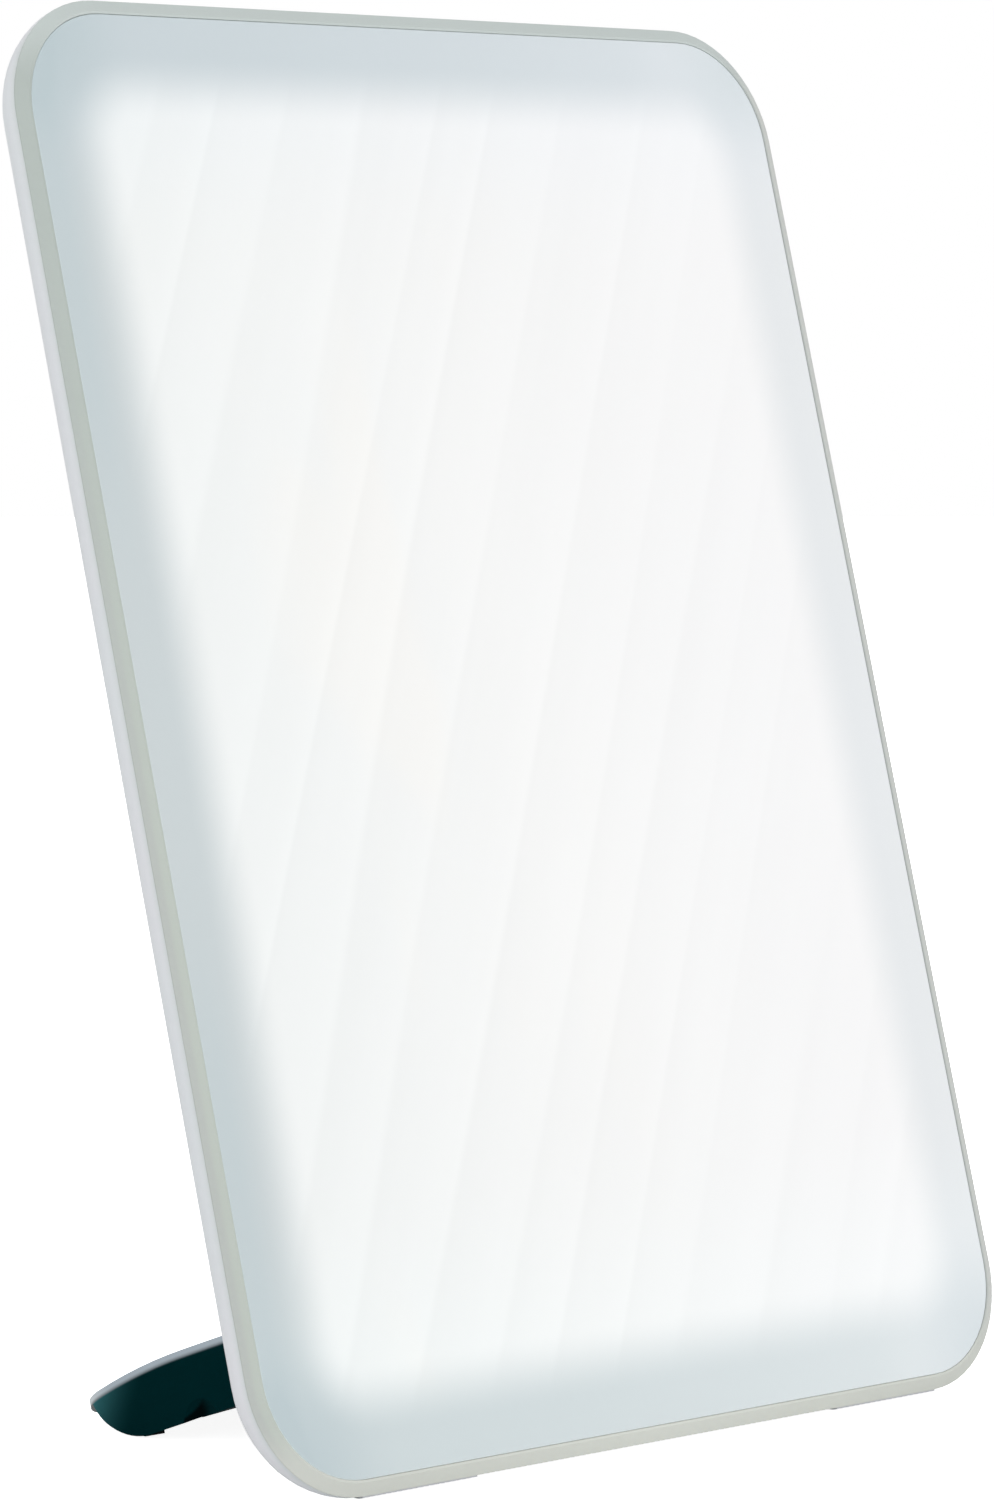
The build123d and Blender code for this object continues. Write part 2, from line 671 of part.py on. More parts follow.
def stand_parts():
    """The pieces that fold with the stand, about its hinge."""
    block_shape = stand_block()
    return {
        "stand_shell": stand_shell(block_shape),
        "stand_cover": stand_cover(block_shape),
        "cover_screws": cover_screws(),
        "toe_pads": toe_pads(),
        "hinge_pin": hinge_pin(),
    }


panel_place = Rot(-LEAN, 0, 0)
stand_place = panel_place * Pos(0, HINGE_Y, HINGE_Z) * Rot(LEAN - STAND_SLOPE, 0, 0)
lamp = {name: panel_place * shape for name, shape in panel_parts().items()}
lamp.update({name: stand_place * shape for name, shape in stand_parts().items()})

box = Compound(list(lamp.values())).bounding_box()
to_table = Pos(0, -(box.min.Y + box.max.Y) / 2, -box.min.Z - PAD_FLAT)
lamp = {name: to_table * shape for name, shape in lamp.items()}

# The rubber pads are pressed flat where they stand
table = block((-PANEL_W, -PANEL_W, -5), (PANEL_W, PANEL_W, 0))
for name in ("base_feet", "toe_pads"):
    lamp[name] = Compound([pad - table for pad in lamp[name].solids()])

for name, shape in lamp.items():
    export_step(shape, "parts/" + name + ".step")

hinge = (to_table * panel_place * Pos(0, HINGE_Y, HINGE_Z)).position
mouth = (to_table * panel_place * Pos(JACK_MOUTH, JACK_Y, HOUSING_Z)).position
base_pad = (to_table * panel_place * Pos(BASE_FOOT_X, FOOT_ARC_Y, FOOT_ARC_Z)).position
print("middle of a base foot", base_pad.X, base_pad.Y)
print("hinge axis", hinge)
print("fold angle", 90 - LEAN + STAND_SLOPE)
print("inlet mouth", mouth)
print("box", box.size)
print("toe starts", TOE_START)
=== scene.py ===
# %% [markdown]
# # A light therapy lamp, dressed
# The solids of the lamp arrive as a finished frame: a slim panel that leans back on a fold-out
# stand. This lesson gives each of them the finish of its real material, replaces the plain
# screws by modelled ones, and sets up a quiet studio. Everything is in metres, with Z up.

# %% Load the frame
import math

import bpy
import numpy as np
from mathutils import Matrix, Vector


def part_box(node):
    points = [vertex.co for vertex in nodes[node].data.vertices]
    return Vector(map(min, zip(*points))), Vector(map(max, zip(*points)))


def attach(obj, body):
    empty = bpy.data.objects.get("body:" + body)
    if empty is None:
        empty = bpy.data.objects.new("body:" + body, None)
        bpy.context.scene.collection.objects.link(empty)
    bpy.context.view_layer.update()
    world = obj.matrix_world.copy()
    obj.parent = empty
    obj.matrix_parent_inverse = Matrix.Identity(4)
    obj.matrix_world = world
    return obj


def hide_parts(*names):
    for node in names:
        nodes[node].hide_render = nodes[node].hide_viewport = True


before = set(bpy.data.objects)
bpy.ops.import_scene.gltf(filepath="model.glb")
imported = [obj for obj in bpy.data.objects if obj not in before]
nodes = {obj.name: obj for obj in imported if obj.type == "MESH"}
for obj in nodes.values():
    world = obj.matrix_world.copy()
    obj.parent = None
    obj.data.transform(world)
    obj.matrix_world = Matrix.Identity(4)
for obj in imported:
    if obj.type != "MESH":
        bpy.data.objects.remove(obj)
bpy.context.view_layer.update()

# %% [markdown]
# The panel leans back, but its patterns belong to the upright panel: a bezel follows its
# outline, and light fades from its lit window to its margin. So its patterns get axes of their
# own, turned back about X. The lowest and foremost points of the bezel then give their origin,
# the middle of the panel's bottom edge. The stand's axes start at the hinge pin and run down its
# leg. Each set of axes is kept as a shift in millimetres, which follows a turn.

# %% Axes of the panel and the stand
MM = 1000
LEAN = math.radians(15.28)
STAND_SLOPE = math.radians(19.65)
PANEL_W, PANEL_H, CORNER_R = 210.0, 294.0, 24.3


def corner_points(name):
    """The vertices of a CAD node, as rows of x, y, z in metres."""
    mesh = nodes[name].data
    points = np.empty(len(mesh.vertices) * 3)
    mesh.vertices.foreach_get("co", points)
    return points.reshape(-1, 3)


def turned(points, angle):
    """Points turned about X by angle: y' = y cos - z sin, and z' = y sin + z cos."""
    cos, sin = math.cos(angle), math.sin(angle)
    x, y, z = points.T
    return np.column_stack([x, y * cos - z * sin, y * sin + z * cos])


panel_corner = turned(corner_points("bezel_frame"), LEAN).min(0) * MM
pin_low, pin_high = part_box("hinge_pin")
hinge = turned(np.array([(pin_low + pin_high) / 2]), STAND_SLOPE)[0] * MM

OBJECT_AXES = ((0, 0, 0), 0.0)
PANEL_AXES = ((0, -panel_corner[1], -panel_corner[2]), LEAN)
STAND_AXES = ((0, -hinge[1], -hinge[2]), STAND_SLOPE)
print("shift to the panel's axes, mm", np.round(PANEL_AXES[0], 3))
print("shift to the stand's axes, mm", np.round(STAND_AXES[0], 3))

# %% [markdown]
# The camera stands to the left of the lamp at about the height of the panel's middle, more than
# a metre away, with a long lens. A camera is placed by its own three axes: right, up, and back
# towards the viewer. Its roll is zero, so right is level.

# %% Camera
CAMERA_PLACE = Vector((-0.82063, -0.84785, 0.21860))
CAMERA_LOOK = Vector((0.694366, 0.716176, -0.070346)).normalized()
LENS_MM = 140.065
SENSOR_MM = 36.0

camera = bpy.data.objects.new("camera", bpy.data.cameras.new("camera"))
camera.data.lens = LENS_MM
camera.data.sensor_width = SENSOR_MM
right = CAMERA_LOOK.cross(Vector((0, 0, 1))).normalized()
up = right.cross(CAMERA_LOOK)
axes = Matrix((right, up, -CAMERA_LOOK)).transposed().to_4x4()
camera.matrix_world = Matrix.Translation(CAMERA_PLACE) @ axes
bpy.context.scene.collection.objects.link(camera)
bpy.context.scene.camera = camera
bpy.context.scene.view_settings.view_transform = "Standard"
print("camera looks along", [round(v, 3) for v in CAMERA_LOOK])

# %% [markdown]
# A material in Blender is a tree of nodes, and a formula soon needs dozens of Math nodes. It
# reads better as arithmetic. The small class below wraps one output socket, and each operator
# adds the Math node that it stands for, so `1 - mask` is a formula that Blender can run.

# %% Arithmetic on sockets
class Value:
    """An output socket that stands for a number in a formula."""

    def __init__(self, tree, socket):
        self.tree = tree
        self.socket = socket

    def math(self, operation, *others):
        """A Math node that takes this number first, and then the others."""
        inputs = dict(enumerate((self,) + others))
        return add_node(self.tree, "ShaderNodeMath", {"operation": operation}, inputs)

    def __add__(self, other):
        return self.math("ADD", other)

    def __mul__(self, other):
        return self.math("MULTIPLY", other)

    def __sub__(self, other):
        return self.math("SUBTRACT", other)

    def __rsub__(self, other):
        return (self * -1) + other

    def __truediv__(self, other):
        return self.math("DIVIDE", other)

    def __pow__(self, other):
        return self.math("POWER", other)

    def __abs__(self):
        return self.math("ABSOLUTE")

    __radd__ = __add__
    __rmul__ = __mul__

    def atleast(self, other):
        """The larger of the two, so never below other."""
        return self.math("MAXIMUM", other)

    def atmost(self, other):
        """The smaller of the two, so never above other."""
        return self.math("MINIMUM", other)

    def remainder(self):
        """What is left over past the last whole number."""
        return self.math("FRACT")

    def step(self, low, high):
        """0 below low, 1 above high, with a smooth S between them. low may be the larger."""
        settings = {"interpolation_type": "SMOOTHSTEP"}
        inputs = {"Value": self, "From Min": low, "From Max": high}
        return add_node(self.tree, "ShaderNodeMapRange", settings, inputs)


def add_node(tree, kind, settings=None, inputs=None, output=0):
    """A node of a kind: its settings are set first, then each socket gets a value or a link."""
    node = tree.nodes.new(kind)
    for name, setting in (settings or {}).items():
        if name == "stops":
            fill_ramp(node.color_ramp, setting)
        else:
            setattr(node, name, setting)
    for name, value in (inputs or {}).items():
        if isinstance(value, Value):
            tree.links.new(value.socket, node.inputs[name])
        else:
            node.inputs[name].default_value = value
    return Value(tree, node.outputs[output])


def fill_ramp(ramp, stops):
    """Stops are pairs of a place from 0 to 1 and the colour there."""
    while len(ramp.elements) < len(stops):
        ramp.elements.new(0.5)
    for element, (place, colour) in zip(ramp.elements, stops):
        element.position = place
        element.color = (*colour, 1)


# %% [markdown]
# Each finish ends in a Principled shader. What is the same all over is set on the shader itself,
# and what varies is fed to it. Patterns read Object coordinates, which stay with a piece when a
# joint moves it, and a Mapping node turns them to the panel's or the stand's own axes in
# millimetres, so that a number in a pattern is a real size. Most patterns are a slow drift or a
# fine speckle, so noise that wanders either side of zero has a method of its own.

# %% A finish and its patterns
OBJECT_OUTPUT = 3  # of the Texture Coordinate node
MIX_A, MIX_B, MIX_RESULT = 6, 7, 2  # the colour sockets of the Mix node


class Finish:
    """A material in the making: its node tree, its shader, and coordinates in millimetres."""

    def __init__(self, name, axes=OBJECT_AXES, **constants):
        self.material = bpy.data.materials.new(name)
        self.material.use_nodes = True
        self.tree = self.material.node_tree
        self.shader = self.tree.nodes["Principled BSDF"]
        for socket, value in constants.items():
            self.shader.inputs[socket.replace("_", " ")].default_value = value
        self.place = self.node("ShaderNodeTexCoord", output=OBJECT_OUTPUT)
        self.use_axes(*axes)

    def node(self, kind, settings=None, inputs=None, output=0):
        """A node in this material's own tree."""
        return add_node(self.tree, kind, settings, inputs, output)

    def use_axes(self, shift, angle):
        """Patterns made from here on read millimetres, turned about X and then shifted."""
        inputs = {"Vector": self.place, "Location": shift, "Rotation": (angle, 0, 0),
                  "Scale": (MM, MM, MM)}
        self.mm = self.node("ShaderNodeMapping", {"vector_type": "POINT"}, inputs)

    def xyz(self):
        """The three coordinates in millimetres, each a number of its own."""
        split = self.node("ShaderNodeSeparateXYZ", {}, {"Vector": self.mm})
        return [Value(self.tree, socket) for socket in split.socket.node.outputs]

    def noise(self, per_mm, detail, stretch=(1, 1, 1)):
        """Fractal noise from 0 to 1, with per_mm features to a millimetre along each axis."""
        scaled = self.node("ShaderNodeVectorMath", {"operation": "MULTIPLY"},
                           {0: self.mm, 1: [per_mm * s for s in stretch]})
        inputs = {"Vector": scaled, "Scale": 1.0, "Detail": detail}
        return self.node("ShaderNodeTexNoise", {}, inputs)

    def wander(self, span, per_mm, detail):
        """Noise around zero, from half of span below it to half of span above it."""
        return span * (self.noise(per_mm, detail) - 0.5)

    def noise_at(self, a, b):
        """Fractal noise from 0 to 1 over two numbers, for a pattern on axes of its own."""
        both = self.node("ShaderNodeCombineXYZ", {}, {0: a, 1: b})
        inputs = {"Vector": both, "Scale": 1.0, "Detail": 2.0}
        return self.node("ShaderNodeTexNoise", {}, inputs)

    def cells(self, per_mm, feature="F1"):
        """Distance to the nearest of scattered points, about 0 to 1."""
        scaled = self.node("ShaderNodeVectorMath", {"operation": "SCALE"},
                           {0: self.mm, "Scale": per_mm})
        inputs = {"Vector": scaled, "Scale": 1.0}
        return self.node("ShaderNodeTexVoronoi", {"feature": feature}, inputs)

    def tint(self, colour, factor):
        """A colour made lighter or darker by a number that varies."""
        return self.node("ShaderNodeVectorMath", {"operation": "SCALE"},
                         {0: colour, "Scale": factor})

    def mix(self, factor, a, b):
        """Colour a where the factor is 0, and b where it is 1."""
        a, b = [c if isinstance(c, Value) else (*c, 1) for c in (a, b)]
        inputs = {0: factor, MIX_A: a, MIX_B: b}
        return self.node("ShaderNodeMix", {"data_type": "RGBA"}, inputs, MIX_RESULT)

    def layered(self, colour, *layers):
        """A colour with others laid over it in turn, each where its own mask is 1."""
        for mask, over in layers:
            colour = self.mix(mask, colour, over)
        return colour

    def bump(self, height, depth_mm):
        """A normal tilted as if height from 0 to 1 stood depth_mm proud."""
        inputs = {"Height": height, "Distance": depth_mm / MM}
        return self.node("ShaderNodeBump", {}, inputs)

    def feed(self, **links):
        """Links values to the shader, with _ for the space in a socket's name."""
        for socket, value in links.items():
            self.tree.links.new(value.socket, self.shader.inputs[socket.replace("_", " ")])


def dress(finish, *names):
    """Puts a finish in every material slot of the CAD nodes named."""
    for name in names:
        for slot in nodes[name].material_slots:
            slot.material = finish.material
    print(finish.material.name, "on", ", ".join(names))


# %% [markdown]
# Most of the lamp is injection-moulded plastic. A mould is finished by spark erosion, which
# leaves a fine even grain, and the plastic drifts a little in tone where it flowed. Handling
# polishes patches of the grain, so the roughness drifts too.

# %% Moulded plastic
DRIFT_PER_MM, RUBBED_PER_MM, RUBBED_SPAN = 0.025, 0.08, 0.12
SPECK_SCALE, SPECK_SHARE = 0.6, 0.7  # of the grain's own scale, and of the drift's span


def moulding(name, colour, roughness, grain, depth, tone, **constants):
    """Satin plastic: fine grain as bump, slow drift of tone, and polished patches.

    The tone drifts over 40 mm with specks coarser than the grain, and patches are 12 mm apart."""
    finish = Finish(name, **constants)
    drift = finish.wander(tone, DRIFT_PER_MM, 2)
    specks = finish.wander(tone * SPECK_SHARE, grain * SPECK_SCALE, 1)
    finish.feed(Base_Color=finish.tint(colour, 1 + drift + specks),
                Roughness=roughness + finish.wander(RUBBED_SPAN, RUBBED_PER_MM, 3),
                Normal=finish.bump(finish.noise(grain, 3), depth))
    return finish


# %% [markdown]
# The bezel, the lit window and the seam between them all follow the same outline, a rectangle
# with round corners. A signed distance gives how far a point is inside or outside of such an
# outline, so one formula serves them all: a line is where the distance is near zero, and a soft
# edge is a smooth step across it.

# %% Distance to a rounded rectangle
def outline_distance(x, z, half_w, half_h, radius):
    """Millimetres outside the outline, negative inside it.

    With p the distance past the straight part of each side, it is the length of the positive
    part of p, plus the larger of the two where both are negative, less the corner radius."""
    past_x = abs(x) - (half_w - radius)
    past_z = abs(z) - (half_h - radius)
    out_x = past_x.atleast(0)
    out_z = past_z.atleast(0)
    corner = (out_x * out_x + out_z * out_z) ** 0.5
    return corner + past_x.atleast(past_z).atmost(0) - radius


# %% [markdown]
# The bezel is a narrow ring of pale grey-green plastic with a satin grain, and its colour also
# carries painted light and shade. Its slope towards the side wall is painted greyer and darker
# than its flat land, its upper part is painted darker, and on the right the very edge of the land
# has painted shade where it meets the sheet. Painted light makes the ring paler on the right and
# below, paler and cooler along the top and warmer along the bottom, most of all in the middle of
# the bottom. Each of these is a mask with a colour, and they are laid over each other like coats
# of paint. All lengths are in millimetres.

# %% Bezel
SLOPE_TO_LAND, SEAM_BAND = (-0.7, -1.9), (-2.45, -2.9)
HIGH_UP, TOP_BAND, BOTTOM_BAND, RIGHT_BAND = (100, 290), (276, 290), (18, 4), (92, 102)
SEAM_SHARE = 0.6
MIDDLE_PAINTED_LIGHT, MIDDLE_REACH = 0.10, 90
SLOPE_SHADED_GREY = (0.460, 0.490, 0.468)
LAND_GREEN = (0.485, 0.530, 0.487)
UPPER_PAINTED_SHADE = (0.425, 0.475, 0.450)
RIGHT_PAINTED_LIGHT = (0.585, 0.610, 0.585)
TOP_PAINTED_LIGHT = (0.540, 0.597, 0.582)
BOTTOM_PAINTED_LIGHT = (0.602, 0.622, 0.576)
SEAM_PAINTED_SHADE = (0.32, 0.36, 0.35)

bezel = Finish("bezel_satin", PANEL_AXES, IOR=1.45)
x, _, u = bezel.xyz()
edge = outline_distance(x, u - PANEL_H / 2, PANEL_W / 2, PANEL_H / 2, CORNER_R)
seam = edge.step(*SEAM_BAND) * x.step(*RIGHT_BAND)
# Painted shade on the slope, the upper part and the right seam, and painted light on the right, the
# top and the bottom.
ring = bezel.layered(SLOPE_SHADED_GREY,
                     (edge.step(*SLOPE_TO_LAND), LAND_GREEN),
                     (u.step(*HIGH_UP), UPPER_PAINTED_SHADE),
                     (x.step(*RIGHT_BAND), RIGHT_PAINTED_LIGHT),
                     (u.step(*TOP_BAND), TOP_PAINTED_LIGHT),
                     (u.step(*BOTTOM_BAND), BOTTOM_PAINTED_LIGHT),
                     (seam * SEAM_SHARE, SEAM_PAINTED_SHADE))
# Painted light, strongest in the middle of the bottom edge.
painted_middle_light = MIDDLE_PAINTED_LIGHT * (1 - abs(x) / MIDDLE_REACH).atleast(0) * u.step(*BOTTOM_BAND)
shade = 1 + painted_middle_light + bezel.wander(0.04, 0.03, 2) + bezel.wander(0.03, 1.4, 1)
bezel.feed(Base_Color=bezel.tint(ring, shade),
           Roughness=0.46 + bezel.wander(0.1, 0.1, 3),
           Normal=bezel.bump(bezel.noise(2.4, 3), 0.01))
dress(bezel, "bezel_frame")

# %% [markdown]
# The diffuser is an opal sheet. Behind its margin lies the white frame, so the margin only glows
# a little with light that leaks sideways; that it glows more on the right than on the left is
# painted light. Painted light along its cut edge lightens the seam, most of all along the bottom
# and not at the right end; the cut edge of a lit sheet does glow a little. The opal's colour is
# painted cooler towards the top and the bottom as painted light, and darker in the corners and
# along the left edge as painted shade, which also dims the leak in the corners.
# Many of these masks need only how far across the sheet a point is, from 0 on the left to 1 on
# the right, so that is worked out once.

# %% Margin of the diffuser
ACROSS_SPAN = 200.0
SHEET_HALF, SHEET_R = (101.9, 143.9), 21.2
CUT_EDGE_BAND = (-0.25, -0.03)
CORNER_X, CORNER_U = (70, 98), (112, 140)
LEFT_EDGE, UP_OR_DOWN = (-92, -99), (20, 80)
HIGH_FROST, LOW_FROST = (240, 286), (60, 14)
SIDE_SHARE, CORNER_SHADE_DIM = 0.5, 0.14
SLOW_LEAK, LEAK_POWER, FAST_LEAK, FAST_FROM = 0.7, 1.3, 0.3, (0.8, 0.97)
CUT_GLOW, CUT_GLOW_LOW, LOW_EDGE, RIGHT_END = 0.3, 0.5, (40, 8), (0.9, 1.0)
FROST = (0.553, 0.608, 0.625)
FROST_LOW_PAINTED_LIGHT = (0.568, 0.640, 0.658)
FROST_HIGH_PAINTED_LIGHT = (0.540, 0.610, 0.645)
FROST_PAINTED_SHADE = (0.468, 0.555, 0.586)
LEAK_LEFT = (0.030, 0.032, 0.030)
LEAK_RIGHT_PAINTED_LIGHT = (0.245, 0.215, 0.215)
CUT_EDGE_PAINTED_LIGHT = (0.260, 0.260, 0.245)

sheet = Finish("opal_sheet", PANEL_AXES, IOR=1.45, Emission_Strength=1.0)
x, _, u = sheet.xyz()
from_middle = u - PANEL_H / 2
across = ((x + ACROSS_SPAN / 2) / ACROSS_SPAN).atleast(0).atmost(1)
# Painted shade: darker in the corners and along the left edge.
corner = abs(x).step(*CORNER_X) * abs(from_middle).step(*CORNER_U)
painted_left_shade = x.step(*LEFT_EDGE) * abs(from_middle).step(*UP_OR_DOWN)
# The opal's colour, with painted light at the top and bottom and painted shade in the corners.
frost = sheet.layered(FROST,
                      (u.step(*HIGH_FROST), FROST_HIGH_PAINTED_LIGHT),
                      (u.step(*LOW_FROST), FROST_LOW_PAINTED_LIGHT),
                      ((corner + SIDE_SHARE * painted_left_shade).atmost(1), FROST_PAINTED_SHADE))

# The leak's rise to the right is painted light, and so is the cut edge's glow below.
rightward_painted_light = SLOW_LEAK * across ** LEAK_POWER + FAST_LEAK * across.step(*FAST_FROM)
margin_leak_and_painted_light = sheet.tint(sheet.mix(rightward_painted_light, LEAK_LEFT, LEAK_RIGHT_PAINTED_LIGHT), 1 - CORNER_SHADE_DIM * corner)
cut_edge = outline_distance(x, from_middle, *SHEET_HALF, SHEET_R).step(*CUT_EDGE_BAND)
edge_share = CUT_GLOW + CUT_GLOW_LOW * u.step(*LOW_EDGE)
margin_leak_and_painted_light = sheet.mix(cut_edge * (1 - across.step(*RIGHT_END)) * edge_share, margin_leak_and_painted_light, CUT_EDGE_PAINTED_LIGHT)
print("sheet", [2 * half for half in SHEET_HALF], "mm, corners", SHEET_R)

# %% [markdown]
# In front of the light guide the sheet is a lit window. The sheet's thickness blurs the window's
# edge over about 14 mm, and brightness still creeps up from there to the middle, because the
# guide is brightest far from its frame. Faint slanting streaks over it are a painted reflection,
# added to the window's light: a sawtooth across the slope is soft on one side of each streak and
# sharp on the other, and noise drawn out along the streaks makes them unequal. Its small factors
# are features to a millimetre, and a number added to a place only picks another part of the
# noise. A patch to the left of the middle is a little warmer.

# %% Window and painted streaks
WINDOW_MIDDLE = (0.55, 147.05)
WINDOW_HALF, WINDOW_R = (88.65, 129.55), 12.0
WINDOW_BLUR = (-6.7, 7.4)
CREEP, CREEP_REACH = 0.07, 87
GLOW_ACROSS = [(0.10, (0.340, 0.305, 0.283)),
               (0.45, (0.362, 0.313, 0.292)),
               (0.90, (0.382, 0.327, 0.314))]
TAN_PATCH = (0.380, 0.318, 0.278)
WARM_SHARE, WARM_BAND = 0.6, (0.5, 0.62)
WARM_FROM, WARM_TO = (0.12, 0.25), (0.62, 0.42)
STREAK_SLOPE, STREAK_PITCH, STREAK_WANDER = 0.50, 19.0, 1.9
STREAK_SHARP, STREAK_MEAN = (1.0, 0.88), 0.45
STREAK_REFLECTION, FINE_REFLECTION = 0.036, 0.022
FLAT_SHARE, PATCH_BAND = 0.35, (0.3, 0.6)
RIGHT_FADE, FADE_BAND = 0.55, (0.55, 0.95)

inside = -1 * outline_distance(x - WINDOW_MIDDLE[0], u - WINDOW_MIDDLE[1], *WINDOW_HALF, WINDOW_R)
window = (1 - CREEP) * inside.step(*WINDOW_BLUR) + CREEP * (inside / CREEP_REACH).atleast(0)

# Painted reflection: slanting streaks, added to the window's light below.
slant = x - STREAK_SLOPE * from_middle
uneven = sheet.noise_at(slant * 0.022, u * 0.0012)
phase = (slant / STREAK_PITCH + STREAK_WANDER * uneven).remainder()
painted_streak = phase * phase.step(*STREAK_SHARP) - STREAK_MEAN
patchy = sheet.noise_at(slant * 0.03, u * 0.007 + 9).step(*PATCH_BAND)
fading = 1 - RIGHT_FADE * across.step(*FADE_BAND)
fine = sheet.noise_at(slant * 0.11, u * 0.004 + 4) - 0.5
unequal = FLAT_SHARE + (1 - FLAT_SHARE) * patchy
painted_reflection = STREAK_REFLECTION * painted_streak * unequal * fading + FINE_REFLECTION * fine

warm = sheet.noise_at(x * 0.02 + 3, u * 0.009).step(*WARM_BAND)
warm = warm * across.step(*WARM_FROM) * across.step(*WARM_TO)
glow = sheet.node("ShaderNodeValToRGB", {"stops": GLOW_ACROSS}, {0: across})
glow = sheet.mix(WARM_SHARE * warm, glow, TAN_PATCH)
lit = sheet.node("ShaderNodeVectorMath", {"operation": "ADD"},
                 {0: glow, 1: sheet.tint((1, 1, 1), painted_reflection)})
print("lit window", [2 * half for half in WINDOW_HALF], "mm, folds every", STREAK_PITCH)

# %% [markdown]
# The parts come together in one shader. The light is an emission, so it stays when the studio
# changes, and the opal's own colour answers the studio's light. Its surface is finely matt.

# %% Diffuser
shade = 1 + sheet.wander(0.03, 0.02, 3) + sheet.wander(0.012, 0.6, 2)
sheet.feed(Base_Color=sheet.tint(frost, shade),
           Emission_Color=sheet.mix(window, margin_leak_and_painted_light, lit),
           Roughness=0.5 + sheet.wander(0.08, 0.07, 3),
           Normal=sheet.bump(sheet.noise(3.0, 2), 0.004))
dress(sheet, "diffuser_panel")

# %% [markdown]
# The rear shell is a paler plastic. It is the largest moulding, so its grain has its own scale,
# and its tone drifts between a hint of green and a hint of lavender where the melt flowed. Along
# its front edge a band of painted shade in the bezel's grey-green softens the turn from bezel to
# wall, so its colour is worked out in the panel's axes, where d is the depth behind the face.

# %% Rear shell
SHELL_COOL = (0.724, 0.757, 0.781)
SHELL_WARM = (0.744, 0.754, 0.788)
SHELL_EDGE_PAINTED_SHADE = (0.645, 0.690, 0.690)
FRONT_EDGE_SHADE_BAND, FLOW_BAND = (3.4, 1.0), (0.38, 0.62)

shell = Finish("shell_satin", IOR=1.45)
shell.feed(Roughness=0.44 + shell.wander(0.12, 0.08, 3),
           Normal=shell.bump(shell.noise(2.0, 3), 0.012))
shell.use_axes(*PANEL_AXES)
_, d, _ = shell.xyz()
flow = shell.noise(0.02, 3).step(*FLOW_BAND)
# Painted shade: a darker grey-green band along the shell's front edge.
hue = shell.layered(SHELL_COOL, (flow, SHELL_WARM), (d.step(*FRONT_EDGE_SHADE_BAND), SHELL_EDGE_PAINTED_SHADE))
shell.feed(Base_Color=shell.tint(hue, 1 + shell.wander(0.025, 1.3, 1)))
dress(shell, "rear_shell")

# %% [markdown]
# The two feet under the panel are matt silicone of about the shell's tone, and the toe pads are
# rubber, nearly black, with dust caught in their pores.

# %% Pads
PORES_PER_MM, PORE_WALL = 1.6, (0.42, 0.1)
DUST_PER_MM, DUST_BAND, DUST_SHARE = 0.7, (0.55, 0.8), 0.35
MATT, PORE_GLOSS, PORE_SHARE = 0.86, 0.1, 0.6


def pad(name, colour, dusty, pore_depth):
    """Matt elastomer with fine pores, and dust in patches."""
    finish = Finish(name, IOR=1.5, Specular_IOR_Level=0.3)
    pores = finish.cells(PORES_PER_MM).step(*PORE_WALL)
    dust = finish.noise(DUST_PER_MM, 3).step(*DUST_BAND)
    finish.feed(Base_Color=finish.mix(DUST_SHARE * dust, colour, dusty),
                Roughness=MATT - PORE_GLOSS * pores,
                Normal=finish.bump(finish.noise(1.8, 3) - PORE_SHARE * pores, pore_depth))
    return finish


SILICONE, SILICONE_DUST = (0.600, 0.612, 0.640), (0.52, 0.52, 0.51)
RUBBER, RUBBER_DUST = (0.010, 0.016, 0.017), (0.06, 0.065, 0.06)
dress(pad("pale_silicone", SILICONE, SILICONE_DUST, 0.015), "base_feet")
dress(pad("rubber", RUBBER, RUBBER_DUST, 0.03), "toe_pads")

# %% [markdown]
# The stand has two mouldings: a dark teal body, and a pale lid that covers its whole top and ends
# in a thin lip past the toe. The teal is matt enough to reflect almost nothing. Three things are
# painted along the body, and each has its own mask in the stand's axes: painted light makes the
# toe paler, most of all high up by its tip, painted shade darkens a crease in each thumb scoop,
# and where the lid's lower edge meets the body the two colours blend, as painted shade on the
# lid's edge and painted light on the body's top edge below it. The lid is paler at its tip, which
# is painted light.

# %% Stand and lid
STAND_HALF_T = 7.0
DROOP_START, DROOP_R = 37.9, 171.8
LID_START, LID_PAINTED_FADE, LID_TIP_BAND = (8.6, 9.0), (1.85, 0.7), (60, 72)
SCOOP_MIDDLE, SCOOP_RIM = (78.2, 36.6, -8.6), (9.3, 9.05)
CREASE_AT, CREASE_NORMAL = (39.1, -5.6), (0.365, 0.931)
CREASE_UPPER, CREASE_LOWER, CREASE_END = (0.8, 0.0), (-4.2, -1.0), (33.6, 37.4)
TOE_LIGHT_SLANT, TOE_LIGHT_FROM, TOE_LIGHT_OVER = 0.8, 54.2, 16
STAND_TEAL = (0.0002, 0.0155, 0.0175)
TOE_PAINTED_LIGHT = (0.030, 0.126, 0.138)
SCOOP_PAINTED_SHADE = (0.0006, 0.0030, 0.0034)
LID_GREY = (0.370, 0.430, 0.480)
LID_TIP_PAINTED_LIGHT = (0.590, 0.640, 0.655)


def lid_with_painted_fade(along, height):
    """1 on the lid, fading to 0 across its fade band, in millimetres below the leg's drooping top.

    The top is level up to the droop, and falls from there by past squared over twice its radius.
    The fade is painted shade on the lid's lower edge, and painted light on the body's top edge."""
    past = (along - DROOP_START).atleast(0)
    below = STAND_HALF_T - past * past / (2 * DROOP_R) - height
    return below.step(*LID_PAINTED_FADE)


def lid_colour(finish, along):
    """The lid's grey, turning paler over LID_TIP_BAND at its tip, which is painted light."""
    return finish.mix(along.step(*LID_TIP_BAND), LID_GREY, LID_TIP_PAINTED_LIGHT)


